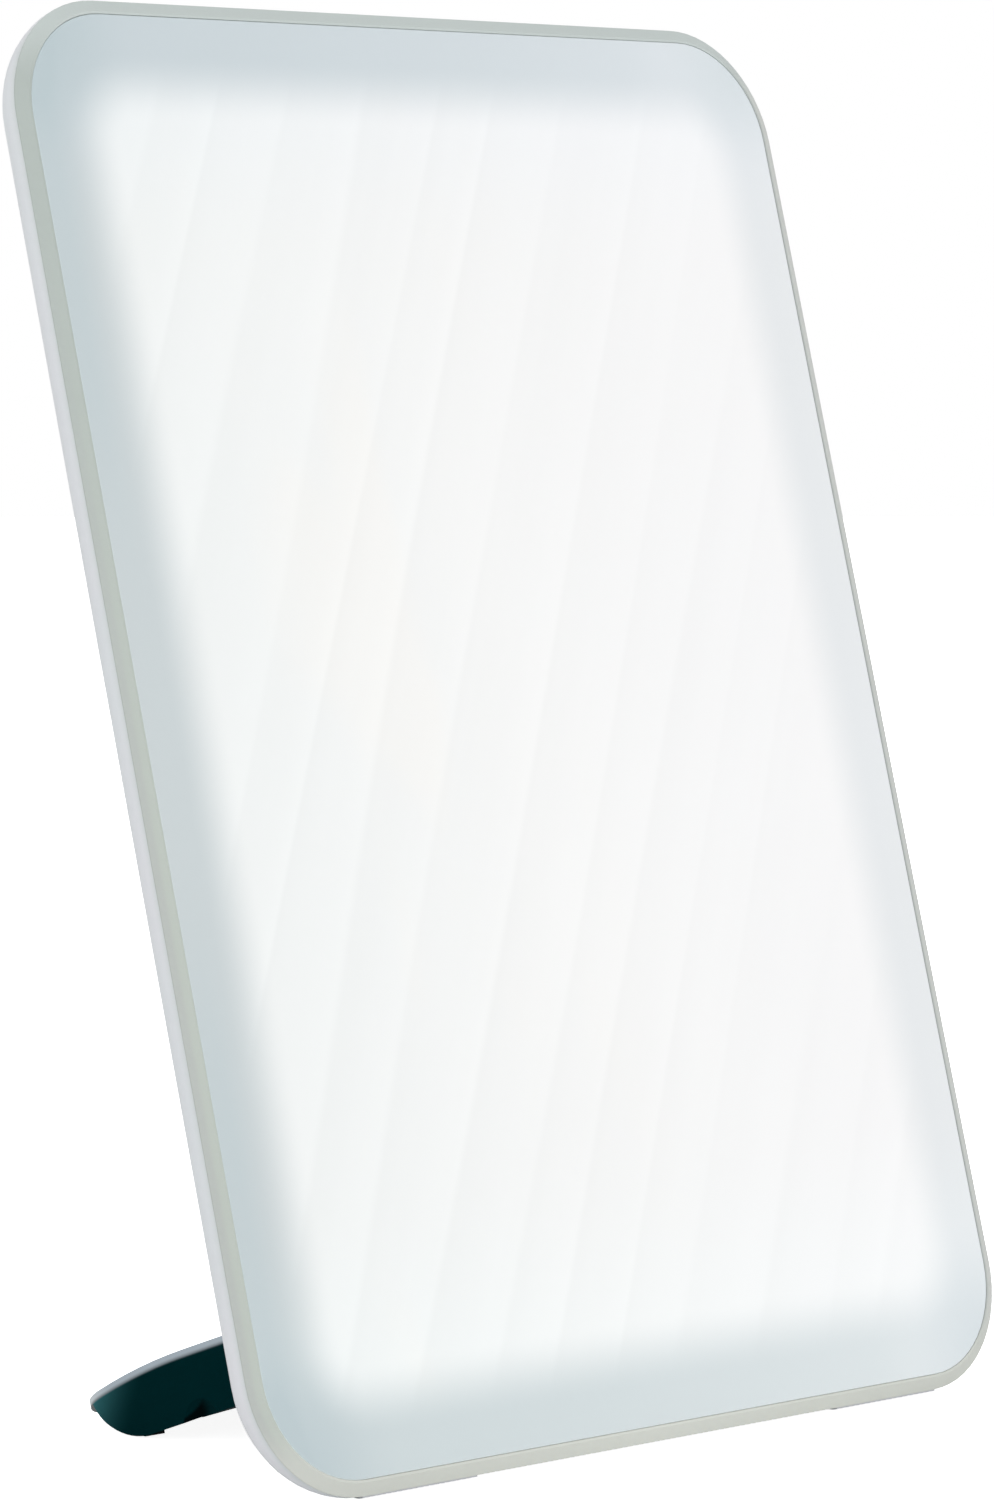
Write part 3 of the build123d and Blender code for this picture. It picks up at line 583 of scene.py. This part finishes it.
body = Finish("stand_satin", STAND_AXES, IOR=1.03)
x, along, height = body.xyz()
# Painted light: the toe is paler, most of all high up by its tip.
toe_light_ramp = ((along + TOE_LIGHT_SLANT * height - TOE_LIGHT_FROM) / TOE_LIGHT_OVER).atleast(0).atmost(1)
toe = toe_light_ramp * toe_light_ramp * (1 + body.wander(0.12, 0.1, 2))

# Painted shade: a dark crease in each thumb scoop.
out, off, low = abs(x) - SCOOP_MIDDLE[0], along - SCOOP_MIDDLE[1], height - SCOOP_MIDDLE[2]
in_scoop = ((out * out + off * off + low * low) ** 0.5).step(*SCOOP_RIM)
past, above = along - CREASE_AT[0], height - CREASE_AT[1]
crease = past * CREASE_NORMAL[0] + above * CREASE_NORMAL[1]
painted_scoop_shade = in_scoop * crease.step(*CREASE_UPPER) * crease.step(*CREASE_LOWER)
painted_scoop_shade = painted_scoop_shade * along.step(*CREASE_END)

# Painted light: the lid's colour laid along the body's top edge just below the lid.
body_edge_painted_light = lid_with_painted_fade(along, height) * along.step(*LID_START)
teal = body.layered(STAND_TEAL, (toe, TOE_PAINTED_LIGHT), (painted_scoop_shade, SCOOP_PAINTED_SHADE),
                    (body_edge_painted_light, lid_colour(body, along)))
shade = 1 + body.wander(0.18, 0.04, 2) + body.wander(0.12, 1.6, 1)
body.feed(Base_Color=body.tint(teal, shade),
          Roughness=0.42 + body.wander(0.1, 0.11, 3),
          Normal=body.bump(body.noise(2.6, 3), 0.008))
dress(body, "stand_shell")

lid = Finish("lid_satin", STAND_AXES, IOR=1.45)
_, along, height = lid.xyz()
# Painted shade: the lid's lower edge fades to the body's teal.
pale = lid.mix(lid_with_painted_fade(along, height), STAND_TEAL, lid_colour(lid, along))
lid.feed(Base_Color=lid.tint(pale, 1 + lid.wander(0.04, 1.4, 1)),
         Roughness=0.42 + lid.wander(0.12, 0.09, 3),
         Normal=lid.bump(lid.noise(2.2, 3), 0.01))
dress(lid, "stand_cover")

# %% [markdown]
# The power button repeats the stand's teal in a finer satin. The hinge brackets are pressed steel
# with a dark powder coat, which dries with the dimpled skin of an orange.

# %% Button and brackets
BUTTON_TEAL = (0.005, 0.026, 0.029)
COAT_TEAL = (0.012, 0.038, 0.042)
dress(moulding("button_satin", BUTTON_TEAL, 0.36, 2.6, 0.006, 0.12, IOR=1.4), "power_button")

powder = Finish("powder_coat", IOR=1.45)
orange_peel = powder.cells(0.9, "SMOOTH_F1")
powder.feed(Base_Color=powder.tint(COAT_TEAL, 1 + powder.wander(0.2, 0.5, 3)),
            Roughness=0.5 + powder.wander(0.12, 0.3, 2),
            Normal=powder.bump(orange_peel + 0.3 * powder.noise(3.0, 2), 0.02))
dress(powder, "hinge_bracket_left", "hinge_bracket_right")

# %% [markdown]
# Metal is bright because it reflects, so its look is in its roughness and its bump. A ground pin
# has fine rings round it, a rolled strip has lines along it, and plating is slightly cloudy. One
# function covers them: the noise is stretched along the direction of the lines.

# %% Metals
CLOUDS_PER_MM = 0.35
MARK_TONE, CLOUD_TONE, MARK_GLOSS, CLOUD_GLOSS = 0.15, 0.1, 0.25, 0.1


def worked_metal(name, colour, roughness, lines, per_mm, depth):
    """Metal whose marks run along the axis where lines is small."""
    finish = Finish(name, Metallic=1.0)
    marks = finish.noise(per_mm, 3, lines)
    mark, cloud = marks - 0.5, finish.noise(CLOUDS_PER_MM, 3) - 0.5
    finish.feed(Base_Color=finish.tint(colour, 1 + MARK_TONE * mark + CLOUD_TONE * cloud),
                Roughness=roughness + MARK_GLOSS * mark + CLOUD_GLOSS * cloud,
                Normal=finish.bump(marks, depth))
    return finish


ROUND_PIN, ALONG_STRIP, UP_SHEET = (6, 0.3, 0.3), (0.3, 5, 5), (4, 4, 0.12)
ROUND_CAN, ALONG_PIN, EVEN = (1, 3, 1), (0.4, 3, 3), (1, 1, 1)
METALS = [  # name, colour, roughness, run of its marks, marks to a millimetre, depth, nodes
    ("ground_steel", (0.60, 0.60, 0.61), 0.28, ROUND_PIN, 3.0, 0.002, ["hinge_pin"]),
    ("blued_strip", (0.30, 0.33, 0.40), 0.32, ALONG_STRIP, 2.0, 0.003,
     ["friction_clip_left", "friction_clip_right"]),
    ("mill_aluminium", (0.75, 0.76, 0.77), 0.38, UP_SHEET, 2.0, 0.002, ["back_plate"]),
    ("capacitor_can", (0.62, 0.63, 0.65), 0.30, ROUND_CAN, 1.5, 0.002, ["capacitors"]),
    ("plated_contact", (0.72, 0.60, 0.32), 0.25, ALONG_PIN, 2.5, 0.002, ["dc_inlet_pin"]),
]
for *numbers, names in METALS:
    dress(worked_metal(*numbers), *names)
zinc = worked_metal("zinc_plate", (0.62, 0.63, 0.66), 0.34, EVEN, 1.2, 0.003)
black_plate = worked_metal("black_plate", (0.050, 0.050, 0.056), 0.38, EVEN, 1.2, 0.003)

# %% [markdown]
# Behind the diffuser lie films, a white frame and the light guide. The films are thin sheets
# with the faint tooth of a matt coating. The guide is clear acrylic printed with rows of
# white dots that throw the light forward, larger towards the middle, far from the LEDs.

# %% Films, frame and guide
def film(name, colour, roughness, per_mm):
    """A thin sheet whose tooth has per_mm points to a millimetre, slightly uneven in gloss."""
    finish = Finish(name, PANEL_AXES, IOR=1.45)
    tooth = finish.cells(per_mm)
    slow = finish.noise(0.03, 2)
    finish.feed(Base_Color=finish.tint(colour, 0.98 + 0.03 * tooth - 0.02 * slow),
                Roughness=roughness + 0.1 * (slow - 0.5),
                Normal=finish.bump(tooth, 0.004))
    return finish


dress(film("matt_film", (0.88, 0.89, 0.90), 0.6, 2.5), "diffusing_film")
dress(film("white_film", (0.93, 0.93, 0.94), 0.35, 1.5), "reflector_film")
dress(film("foam_tape", (0.83, 0.83, 0.81), 0.85, 3.5), "diffuser_tape")
dress(moulding("frame_white", (0.86, 0.86, 0.85), 0.6, 1.8, 0.015, 0.02, IOR=1.45), "inner_frame")

DOT_PITCH, DOT_EDGE = 2.0, (0.06, -0.06)
SMALL_DOT, DOT_GROWTH, GUIDE_HALF_W = 0.35, 0.4, 88
CLEAR_ACRYLIC, DOT_WHITE = (0.80, 0.85, 0.86), (0.97, 0.97, 0.97)
CLEAR_ALPHA, DOT_ALPHA = 0.4, 0.55
CLEAR_ROUGH, DOT_ROUGH = 0.06, 0.6

guide = Finish("dotted_acrylic", PANEL_AXES, IOR=1.49)
x, _, u = guide.xyz()
dot_x = ((x / DOT_PITCH).remainder() - 0.5) * DOT_PITCH
dot_u = ((u / DOT_PITCH).remainder() - 0.5) * DOT_PITCH
radius = SMALL_DOT + DOT_GROWTH * (1 - abs(x) / GUIDE_HALF_W)
dots = ((dot_x * dot_x + dot_u * dot_u) ** 0.5 - radius).step(*DOT_EDGE)
guide.feed(Base_Color=guide.mix(dots, CLEAR_ACRYLIC, DOT_WHITE),
           Roughness=CLEAR_ROUGH + DOT_ROUGH * dots,
           Alpha=CLEAR_ALPHA + DOT_ALPHA * dots)
dress(guide, "light_guide")

# %% [markdown]
# The LEDs sit on two narrow boards with white solder mask. Each has a pale case round a yellow
# window of phosphor. Their spacing is known, so the place of a point between two LEDs is the
# remainder of its height over the spacing, and that tells case from window.

# %% LEDs and their boards
LED_PITCH, LED_WINDOW = 7.8, (1.25, 1.15)
LED_CASE, PHOSPHOR = (0.82, 0.82, 0.79), (0.95, 0.78, 0.25)
DARK, LED_GLOW = (0, 0, 0), (0.35, 0.33, 0.22)

leds = Finish("led_phosphor", PANEL_AXES, IOR=1.5, Emission_Strength=1.0)
_, _, u = leds.xyz()
from_led = abs(((u - PANEL_H / 2) / LED_PITCH).remainder() - 0.5) * LED_PITCH
yellow = from_led.step(*LED_WINDOW)
grains = leds.noise(6.0, 2)
leds.feed(Base_Color=leds.mix(yellow, LED_CASE, leds.tint(PHOSPHOR, 0.85 + 0.3 * grains)),
          Emission_Color=leds.mix(yellow, DARK, LED_GLOW),
          Roughness=0.22 + 0.25 * grains)
dress(leds, "leds_left", "leds_right")

TRACK_BEND, BENDS_PER_MM, TRACK_EDGE = 6, 0.08, (0.22, 0.16)


def circuit(name, mask, track, pitch):
    """Solder mask over copper tracks: the tracks stand proud a little and show paler.

    A lane is the remainder of height over pitch, and cells of 12 mm bend the lanes by 6 mm."""
    finish = Finish(name, PANEL_AXES, IOR=1.5)
    _, _, u = finish.xyz()
    bend = TRACK_BEND * finish.cells(BENDS_PER_MM, "F2")
    lane = ((u + bend) / pitch).remainder()
    tracks = abs(lane - 0.5).step(*TRACK_EDGE)
    finish.feed(Base_Color=finish.mix(tracks, mask, track),
                Roughness=0.32 + 0.2 * finish.noise(0.8, 2),
                Normal=finish.bump(tracks + 0.2 * finish.noise(2.0, 2), 0.03))
    return finish


white_mask = circuit("white_mask", (0.86, 0.86, 0.84), (0.90, 0.89, 0.85), 2.4)
dress(white_mask, "led_strip_left", "led_strip_right")
green_mask = circuit("green_mask", (0.012, 0.135, 0.070), (0.030, 0.230, 0.110), 1.9)
dress(green_mask, "driver_board")

# %% [markdown]
# The parts on the driver board are small, but a repairer sees them: a rough grey ferrite, a black
# epoxy chip, ivory nylon connectors, and the black nylon of the inlet and the switch. They are
# mouldings of different grain, so the same function serves them with other numbers: colour,
# roughness, grain to a millimetre, its depth, and the spread of tone.

# %% Parts on the board
BOARD_PARTS = [
    ("inductor", "ferrite", (0.065, 0.065, 0.070), 0.75, 1.2, 0.05, 0.3),
    ("driver_chip", "epoxy", (0.028, 0.028, 0.030), 0.55, 1.8, 0.02, 0.2),
    ("led_connectors", "ivory_nylon", (0.84, 0.82, 0.74), 0.35, 1.6, 0.008, 0.04),
    ("dc_inlet", "black_nylon", (0.026, 0.026, 0.027), 0.48, 1.8, 0.015, 0.2),
    ("switch_body", "switch_case", (0.055, 0.055, 0.056), 0.55, 1.6, 0.015, 0.2),
    ("switch_plunger", "switch_stem", (0.13, 0.13, 0.13), 0.35, 2.0, 0.006, 0.15),
]
for piece, *numbers in BOARD_PARTS:
    dress(moulding(*numbers), piece)

# %% [markdown]
# A screw head is a dome with a cross sunk in it, and its shank carries a thread. Modelling it by
# hand takes a dozen steps, but as a surface it is one formula: rings run from the middle of the
# head over its rim and down the shank to the tip. The mesh only needs the rings in order, so its
# faces are made first, for any surface of this kind.

# %% Rings made into a mesh
SHARP_ANGLE = math.radians(38)


def quads_between(rings, around):
    """The corners of each quad between neighbouring rings, numbered along the rings from 0."""
    i = np.arange(rings - 1)[:, None] * around
    j = np.arange(around)
    k = (j + 1) % around
    return np.stack([i + j, i + around + j, i + around + k, i + k], -1).reshape(-1, 4)


def ring_faces(rings, around):
    """Quads between neighbouring rings, and a fan at each pole, all facing outwards."""
    j = np.arange(around)
    k = (j + 1) % around
    last = rings * around + 1
    last_ring = last - around
    first_fan = np.stack([np.zeros(around, int), j + 1, k + 1], -1)
    last_fan = np.stack([last_ring + k, last_ring + j, np.full(around, last)], -1)
    quads = quads_between(rings, around) + 1
    return quads.tolist() + first_fan.tolist() + last_fan.tolist()


def mesh_object(name, points, faces):
    """An object of the scene from rows of x, y, z in metres and lists of corners."""
    mesh = bpy.data.meshes.new(name)
    mesh.from_pydata(points.tolist(), [], faces)
    made = bpy.data.objects.new(name, mesh)
    bpy.context.scene.collection.objects.link(made)
    return made


def ring_object(name, shapes):
    """One object of several closed shapes. Each is (first pole, rings, last pole)."""
    points, faces, count = [], [], 0
    for first, rings, last in shapes:
        number, around = rings.shape[:2]
        faces += [[corner + count for corner in face] for face in ring_faces(number, around)]
        points += [first[None], rings.reshape(-1, 3), last[None]]
        count += number * around + 2
    made = mesh_object(name, np.concatenate(points), faces)
    mesh = made.data
    mesh.polygons.foreach_set("use_smooth", np.ones(len(mesh.polygons), bool))
    mesh.set_sharp_from_angle(angle=SHARP_ANGLE)
    mesh.validate()
    print(name, len(shapes), "closed shapes,", len(mesh.polygons), "faces")
    return made


# %% [markdown]
# The cross lowers the rings where a point is near one of two lines, and the thread moves them in
# and out with the angle. The profile below is in millimetres, with 0 at the top of the head's rim
# and the tip below it. The frame has two sorts of head: a low pan on a flat seat, and a
# countersunk cone. Both end in a blunt tip.

# %% One screw
AROUND, HEAD_RINGS, INNER_R = 48, 22, 0.06
THREAD_PITCH, THREAD_DEPTH, THREAD_INNER_R = 0.8, 0.22, 0.45
CROSS_WIDTH, CROSS_REACH, CROSS_DEPTH = 0.24, 0.62, 0.75
CROSS_TAPER, CROSS_WALL, CROSS_RISE = 0.35, 0.14, 0.5
HEAD_TOP = -0.05
DOME_H, PAN_H, PAN_SHANK_R, CONE_SHANK_R = 0.22, 1.0, 1.0, 1.25
TIP_H, TIP = 0.8, [(0.8, 0.35), (0.45, 0)]  # shares of the shank's radius, heights over the tip


def cross_recess(radius, angle, reach):
    """How far the cross sinks the head: full depth near its two arms, rising along them."""
    a, b = abs(radius * np.cos(angle)), abs(radius * np.sin(angle))
    arm = np.minimum(np.maximum(a * CROSS_TAPER, b), np.maximum(b * CROSS_TAPER, a))
    wall = np.clip((CROSS_WIDTH - arm) / CROSS_WALL, 0, 1)
    slope = np.clip((reach - radius) / CROSS_RISE, 0, 1)
    return CROSS_DEPTH * wall * slope


def screw_rings(profile, thread_from, head_r):
    """Rings of radius and height from a profile, its head sunk by a cross, its shank threaded.

    The thread moves a ring in by a triangle wave of height over pitch less the turn."""
    radius, height = np.array(profile).T
    angle = np.arange(AROUND) * 2 * math.pi / AROUND
    radius = np.repeat(radius[:, None], AROUND, 1)
    height = np.repeat(height[:, None], AROUND, 1)
    sunk = cross_recess(radius, angle[None], CROSS_REACH * head_r)
    wave = np.abs(((height / THREAD_PITCH - angle[None] / (2 * math.pi)) % 1) - 0.5) * 2
    threaded = (height < thread_from) & (radius > THREAD_INNER_R)
    radius = np.where(threaded, radius - THREAD_DEPTH * wave, radius)
    height = height - np.where(height > HEAD_TOP, sunk, 0)
    return np.stack([radius * np.cos(angle), radius * np.sin(angle), height], -1)


def shank_profile(shank_r, start, tip):
    """A straight shank with four rings to each turn of the thread, and a blunt tip."""
    heights = np.arange(start, tip + TIP_H, -THREAD_PITCH / 4)
    return [(shank_r, h) for h in heights] + [(shank_r * share, tip + up) for share, up in TIP]


def pan(head_r, length):
    """A low dome: radii spaced over the top, a rounded rim, a flat underside."""
    radii = np.linspace(INNER_R, head_r - 0.25, HEAD_RINGS)
    dome = [(r, DOME_H * (1 - (r / head_r) ** 2)) for r in radii]
    rim = [(head_r - 0.1, -0.06), (head_r, -0.22), (head_r, 0.08 - PAN_H), (head_r - 0.06, -PAN_H)]
    seat = [(PAN_SHANK_R, -PAN_H)]
    return dome + rim + seat + shank_profile(PAN_SHANK_R, -PAN_H - 0.2, -length)


def countersunk(head_r, length):
    """A countersunk head: flat top, thin rim, a cone down to the shank."""
    radii = np.linspace(INNER_R, head_r - 0.08, HEAD_RINGS)
    cone = head_r - CONE_SHANK_R
    rim = [(head_r, -0.06), (head_r, -0.16), (CONE_SHANK_R, -cone - 0.1)]
    return [(r, 0.0) for r in radii] + rim + shank_profile(CONE_SHANK_R, -cone - 0.3, -length)


# %% [markdown]
# Where the screws go is read from the frame, so they can't drift from their holes. The vertices
# of a node are turned to the axes in which its screws are upright and sorted into cells. A screw
# can fall in several cells, so those with near middles are joined. The middle of each group is a
# screw's axis, and its ends are the head and the tip. Each screw of the frame is then replaced in
# its own place, at the same size.

# %% Screws in their places
CELL_X, CELL_ALONG = 7, 12  # smaller than the gap between two screws, in millimetres
ROW = 1000  # more than there are cells along
SAME_SCREW = 5.0


def screw_groups(name, angle, head_up):
    """Clusters of a node's vertices, each as x, along and upright, in axes turned by angle."""
    points = turned(corner_points(name), angle) * MM
    x, along, upright = points.T if head_up else points[:, [0, 2, 1]].T
    cell = np.round(x / CELL_X).astype(int) * ROW + np.round(along / CELL_ALONG).astype(int)
    return [(x[cell == value], along[cell == value], upright[cell == value])
            for value in np.unique(cell)]


def join_groups(groups):
    """Groups whose middles lie within SAME_SCREW are one screw: its axis, ends and radius."""
    screws = []
    for group in groups:
        middle = np.array([group[0].mean(), group[1].mean()])
        for screw in screws:
            if np.hypot(*(screw["middle"] - middle)) < SAME_SCREW:
                screw["groups"].append(group)
                break
        else:
            screws.append({"middle": middle, "groups": [group]})
    found = []
    for screw in screws:
        x, along, upright = (np.concatenate(parts) for parts in zip(*screw["groups"]))
        found.append(((x.min() + x.max()) / 2, (along.min() + along.max()) / 2,
                      upright.min(), upright.max(), (x.max() - x.min()) / 2))
    return found


def place_screws(name, angle, head_up, head_at_high, profile, thread_from, body, slot, finish):
    """Replaces the screws of a node by modelled ones on the same axes."""
    sign = 1 if head_at_high else -1
    shapes = []
    for x, along, low, high, head_r in join_groups(screw_groups(name, angle, head_up)):
        local = screw_rings(profile(head_r, high - low), thread_from, head_r)
        a, b = local[..., 0], local[..., 1]
        h = (high if head_at_high else low) + sign * local[..., 2]
        placed = np.stack([x + a, along + b, h] if head_up else [x + a, h, along - sign * b], -1)
        rings = (turned(placed.reshape(-1, 3), -angle) / MM).reshape(placed.shape)
        shapes.append((rings[0].mean(0), rings, rings[-1].mean(0)))
    made = ring_object(name + "_modelled", shapes)
    made.data.materials.append(finish.material)
    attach(made, body)
    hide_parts(name)


# node, turn of its axes, is its head up, is its head at the high end, head, where its thread
# starts, body, slot and finish
SCREWS = [
    ("cover_screws", STAND_SLOPE, True, True, pan, -1.4, "stand", "black_screws", black_plate),
    ("hinge_screws", LEAN, False, True, countersunk, -1.6, "panel", "black_screws", black_plate),
    ("frame_screws", LEAN, False, False, pan, -1.6, "panel", "steel_screws", zinc),
    ("board_screws", LEAN, False, False, pan, -1.6, "panel", "steel_screws", zinc),
]
for row in SCREWS:
    place_screws(*row)

# %% [markdown]
# The studio is a pale floor under an even white sky. The sky and the floor are seen as white by
# the camera and in reflections, through the Light Path node, without putting more light on the
# lamp. The floor's own shading stays in the mix, so the lamp keeps a soft shadow under it.

# %% Floor
FLOOR_R, FLOOR_RINGS, FLOOR_AROUND = 6.0, 8, 64
FLOOR_BELOW = 0.0002
PAPER = (0.90, 0.90, 0.90)
SEEN_LIFT, MIRRORED_LIFT = 0.92, 0.2


def parametric_disc(name, radius, rings, around):
    """A flat disc: r runs from the middle to the radius, and the angle round it."""
    angle = np.arange(around) * 2 * math.pi / around
    r = np.linspace(radius / rings, radius, rings)[:, None]
    points = np.stack([r * np.cos(angle), r * np.sin(angle), 0 * r * angle], -1).reshape(-1, 3)
    middle = list(range(around))
    return mesh_object(name, points, quads_between(rings, around).tolist() + [middle])


def rays(tree, first, *others):
    """1 for a ray of any of the kinds named, such as Camera, and 0 for all the others."""
    kinds = add_node(tree, "ShaderNodeLightPath").socket.node.outputs
    mask = Value(tree, kinds[f"Is {first} Ray"])
    for other in others:
        mask = mask.atleast(Value(tree, kinds[f"Is {other} Ray"]))
    return mask


floor = parametric_disc("studio_floor", FLOOR_R, FLOOR_RINGS, FLOOR_AROUND)
floor.location.z = -FLOOR_BELOW
paper = Finish("pale_paper", Roughness=0.9, IOR=1.3)
paper.feed(Base_Color=paper.tint(PAPER, 1 + paper.wander(0.02, 0.4, 3)))
seen = rays(paper.tree, "Camera")
mirrored = rays(paper.tree, "Glossy", "Transmission")
backing = paper.node("ShaderNodeEmission", {},
                     {"Strength": SEEN_LIFT * seen + MIRRORED_LIFT * mirrored})
shading = Value(paper.tree, paper.shader.outputs[0])
both = paper.node("ShaderNodeAddShader", {}, {0: shading, 1: backing})
paper.tree.links.new(both.socket, paper.tree.nodes["Material Output"].inputs["Surface"])
floor.data.materials.append(paper.material)
print("floor", 2 * FLOOR_R, "m across,", FLOOR_BELOW * MM, "mm below the feet")

# %% [markdown]
# The light is soft and plain, so that a colour renders about as it is written: an even sky, one
# large soft lamp from the left, a low one in front that reaches the lower bezel, and a weaker one
# behind on the right that shapes the back.

# %% Sky and lamps
SKY = 0.52
world = bpy.data.worlds.new("studio_sky")
world.use_nodes = True
bpy.context.scene.world = world
sky = world.node_tree
strength = SKY + (1 - SKY) * rays(sky, "Camera", "Glossy", "Transmission")
sky.links.new(strength.socket, sky.nodes["Background"].inputs["Strength"])
sky.nodes["Background"].inputs["Color"].default_value = (1, 1, 1, 1)


def soft_lamp(name, place, target, size, watts):
    """A round lamp at a place, turned to a target, and never seen itself."""
    light = bpy.data.lights.new(name, "AREA")
    light.shape = "DISK"
    light.size = size
    light.energy = watts
    lamp = bpy.data.objects.new(name, light)
    lamp.location = place
    lamp.rotation_euler = (Vector(target) - Vector(place)).to_track_quat("-Z", "Y").to_euler()
    lamp.visible_camera = False
    bpy.context.scene.collection.objects.link(lamp)
    print(name, watts, "W at", place)


soft_lamp("key_softbox", (-2.0, -1.0, 1.1), (0, 0, 0.14), 1.4, 22)
soft_lamp("low_softbox", (0.8, -2.0, 0.3), (0, 0, 0.08), 1.2, 13)
soft_lamp("back_softbox", (1.5, 1.6, 1.3), (0, 0, 0.14), 1.2, 13)
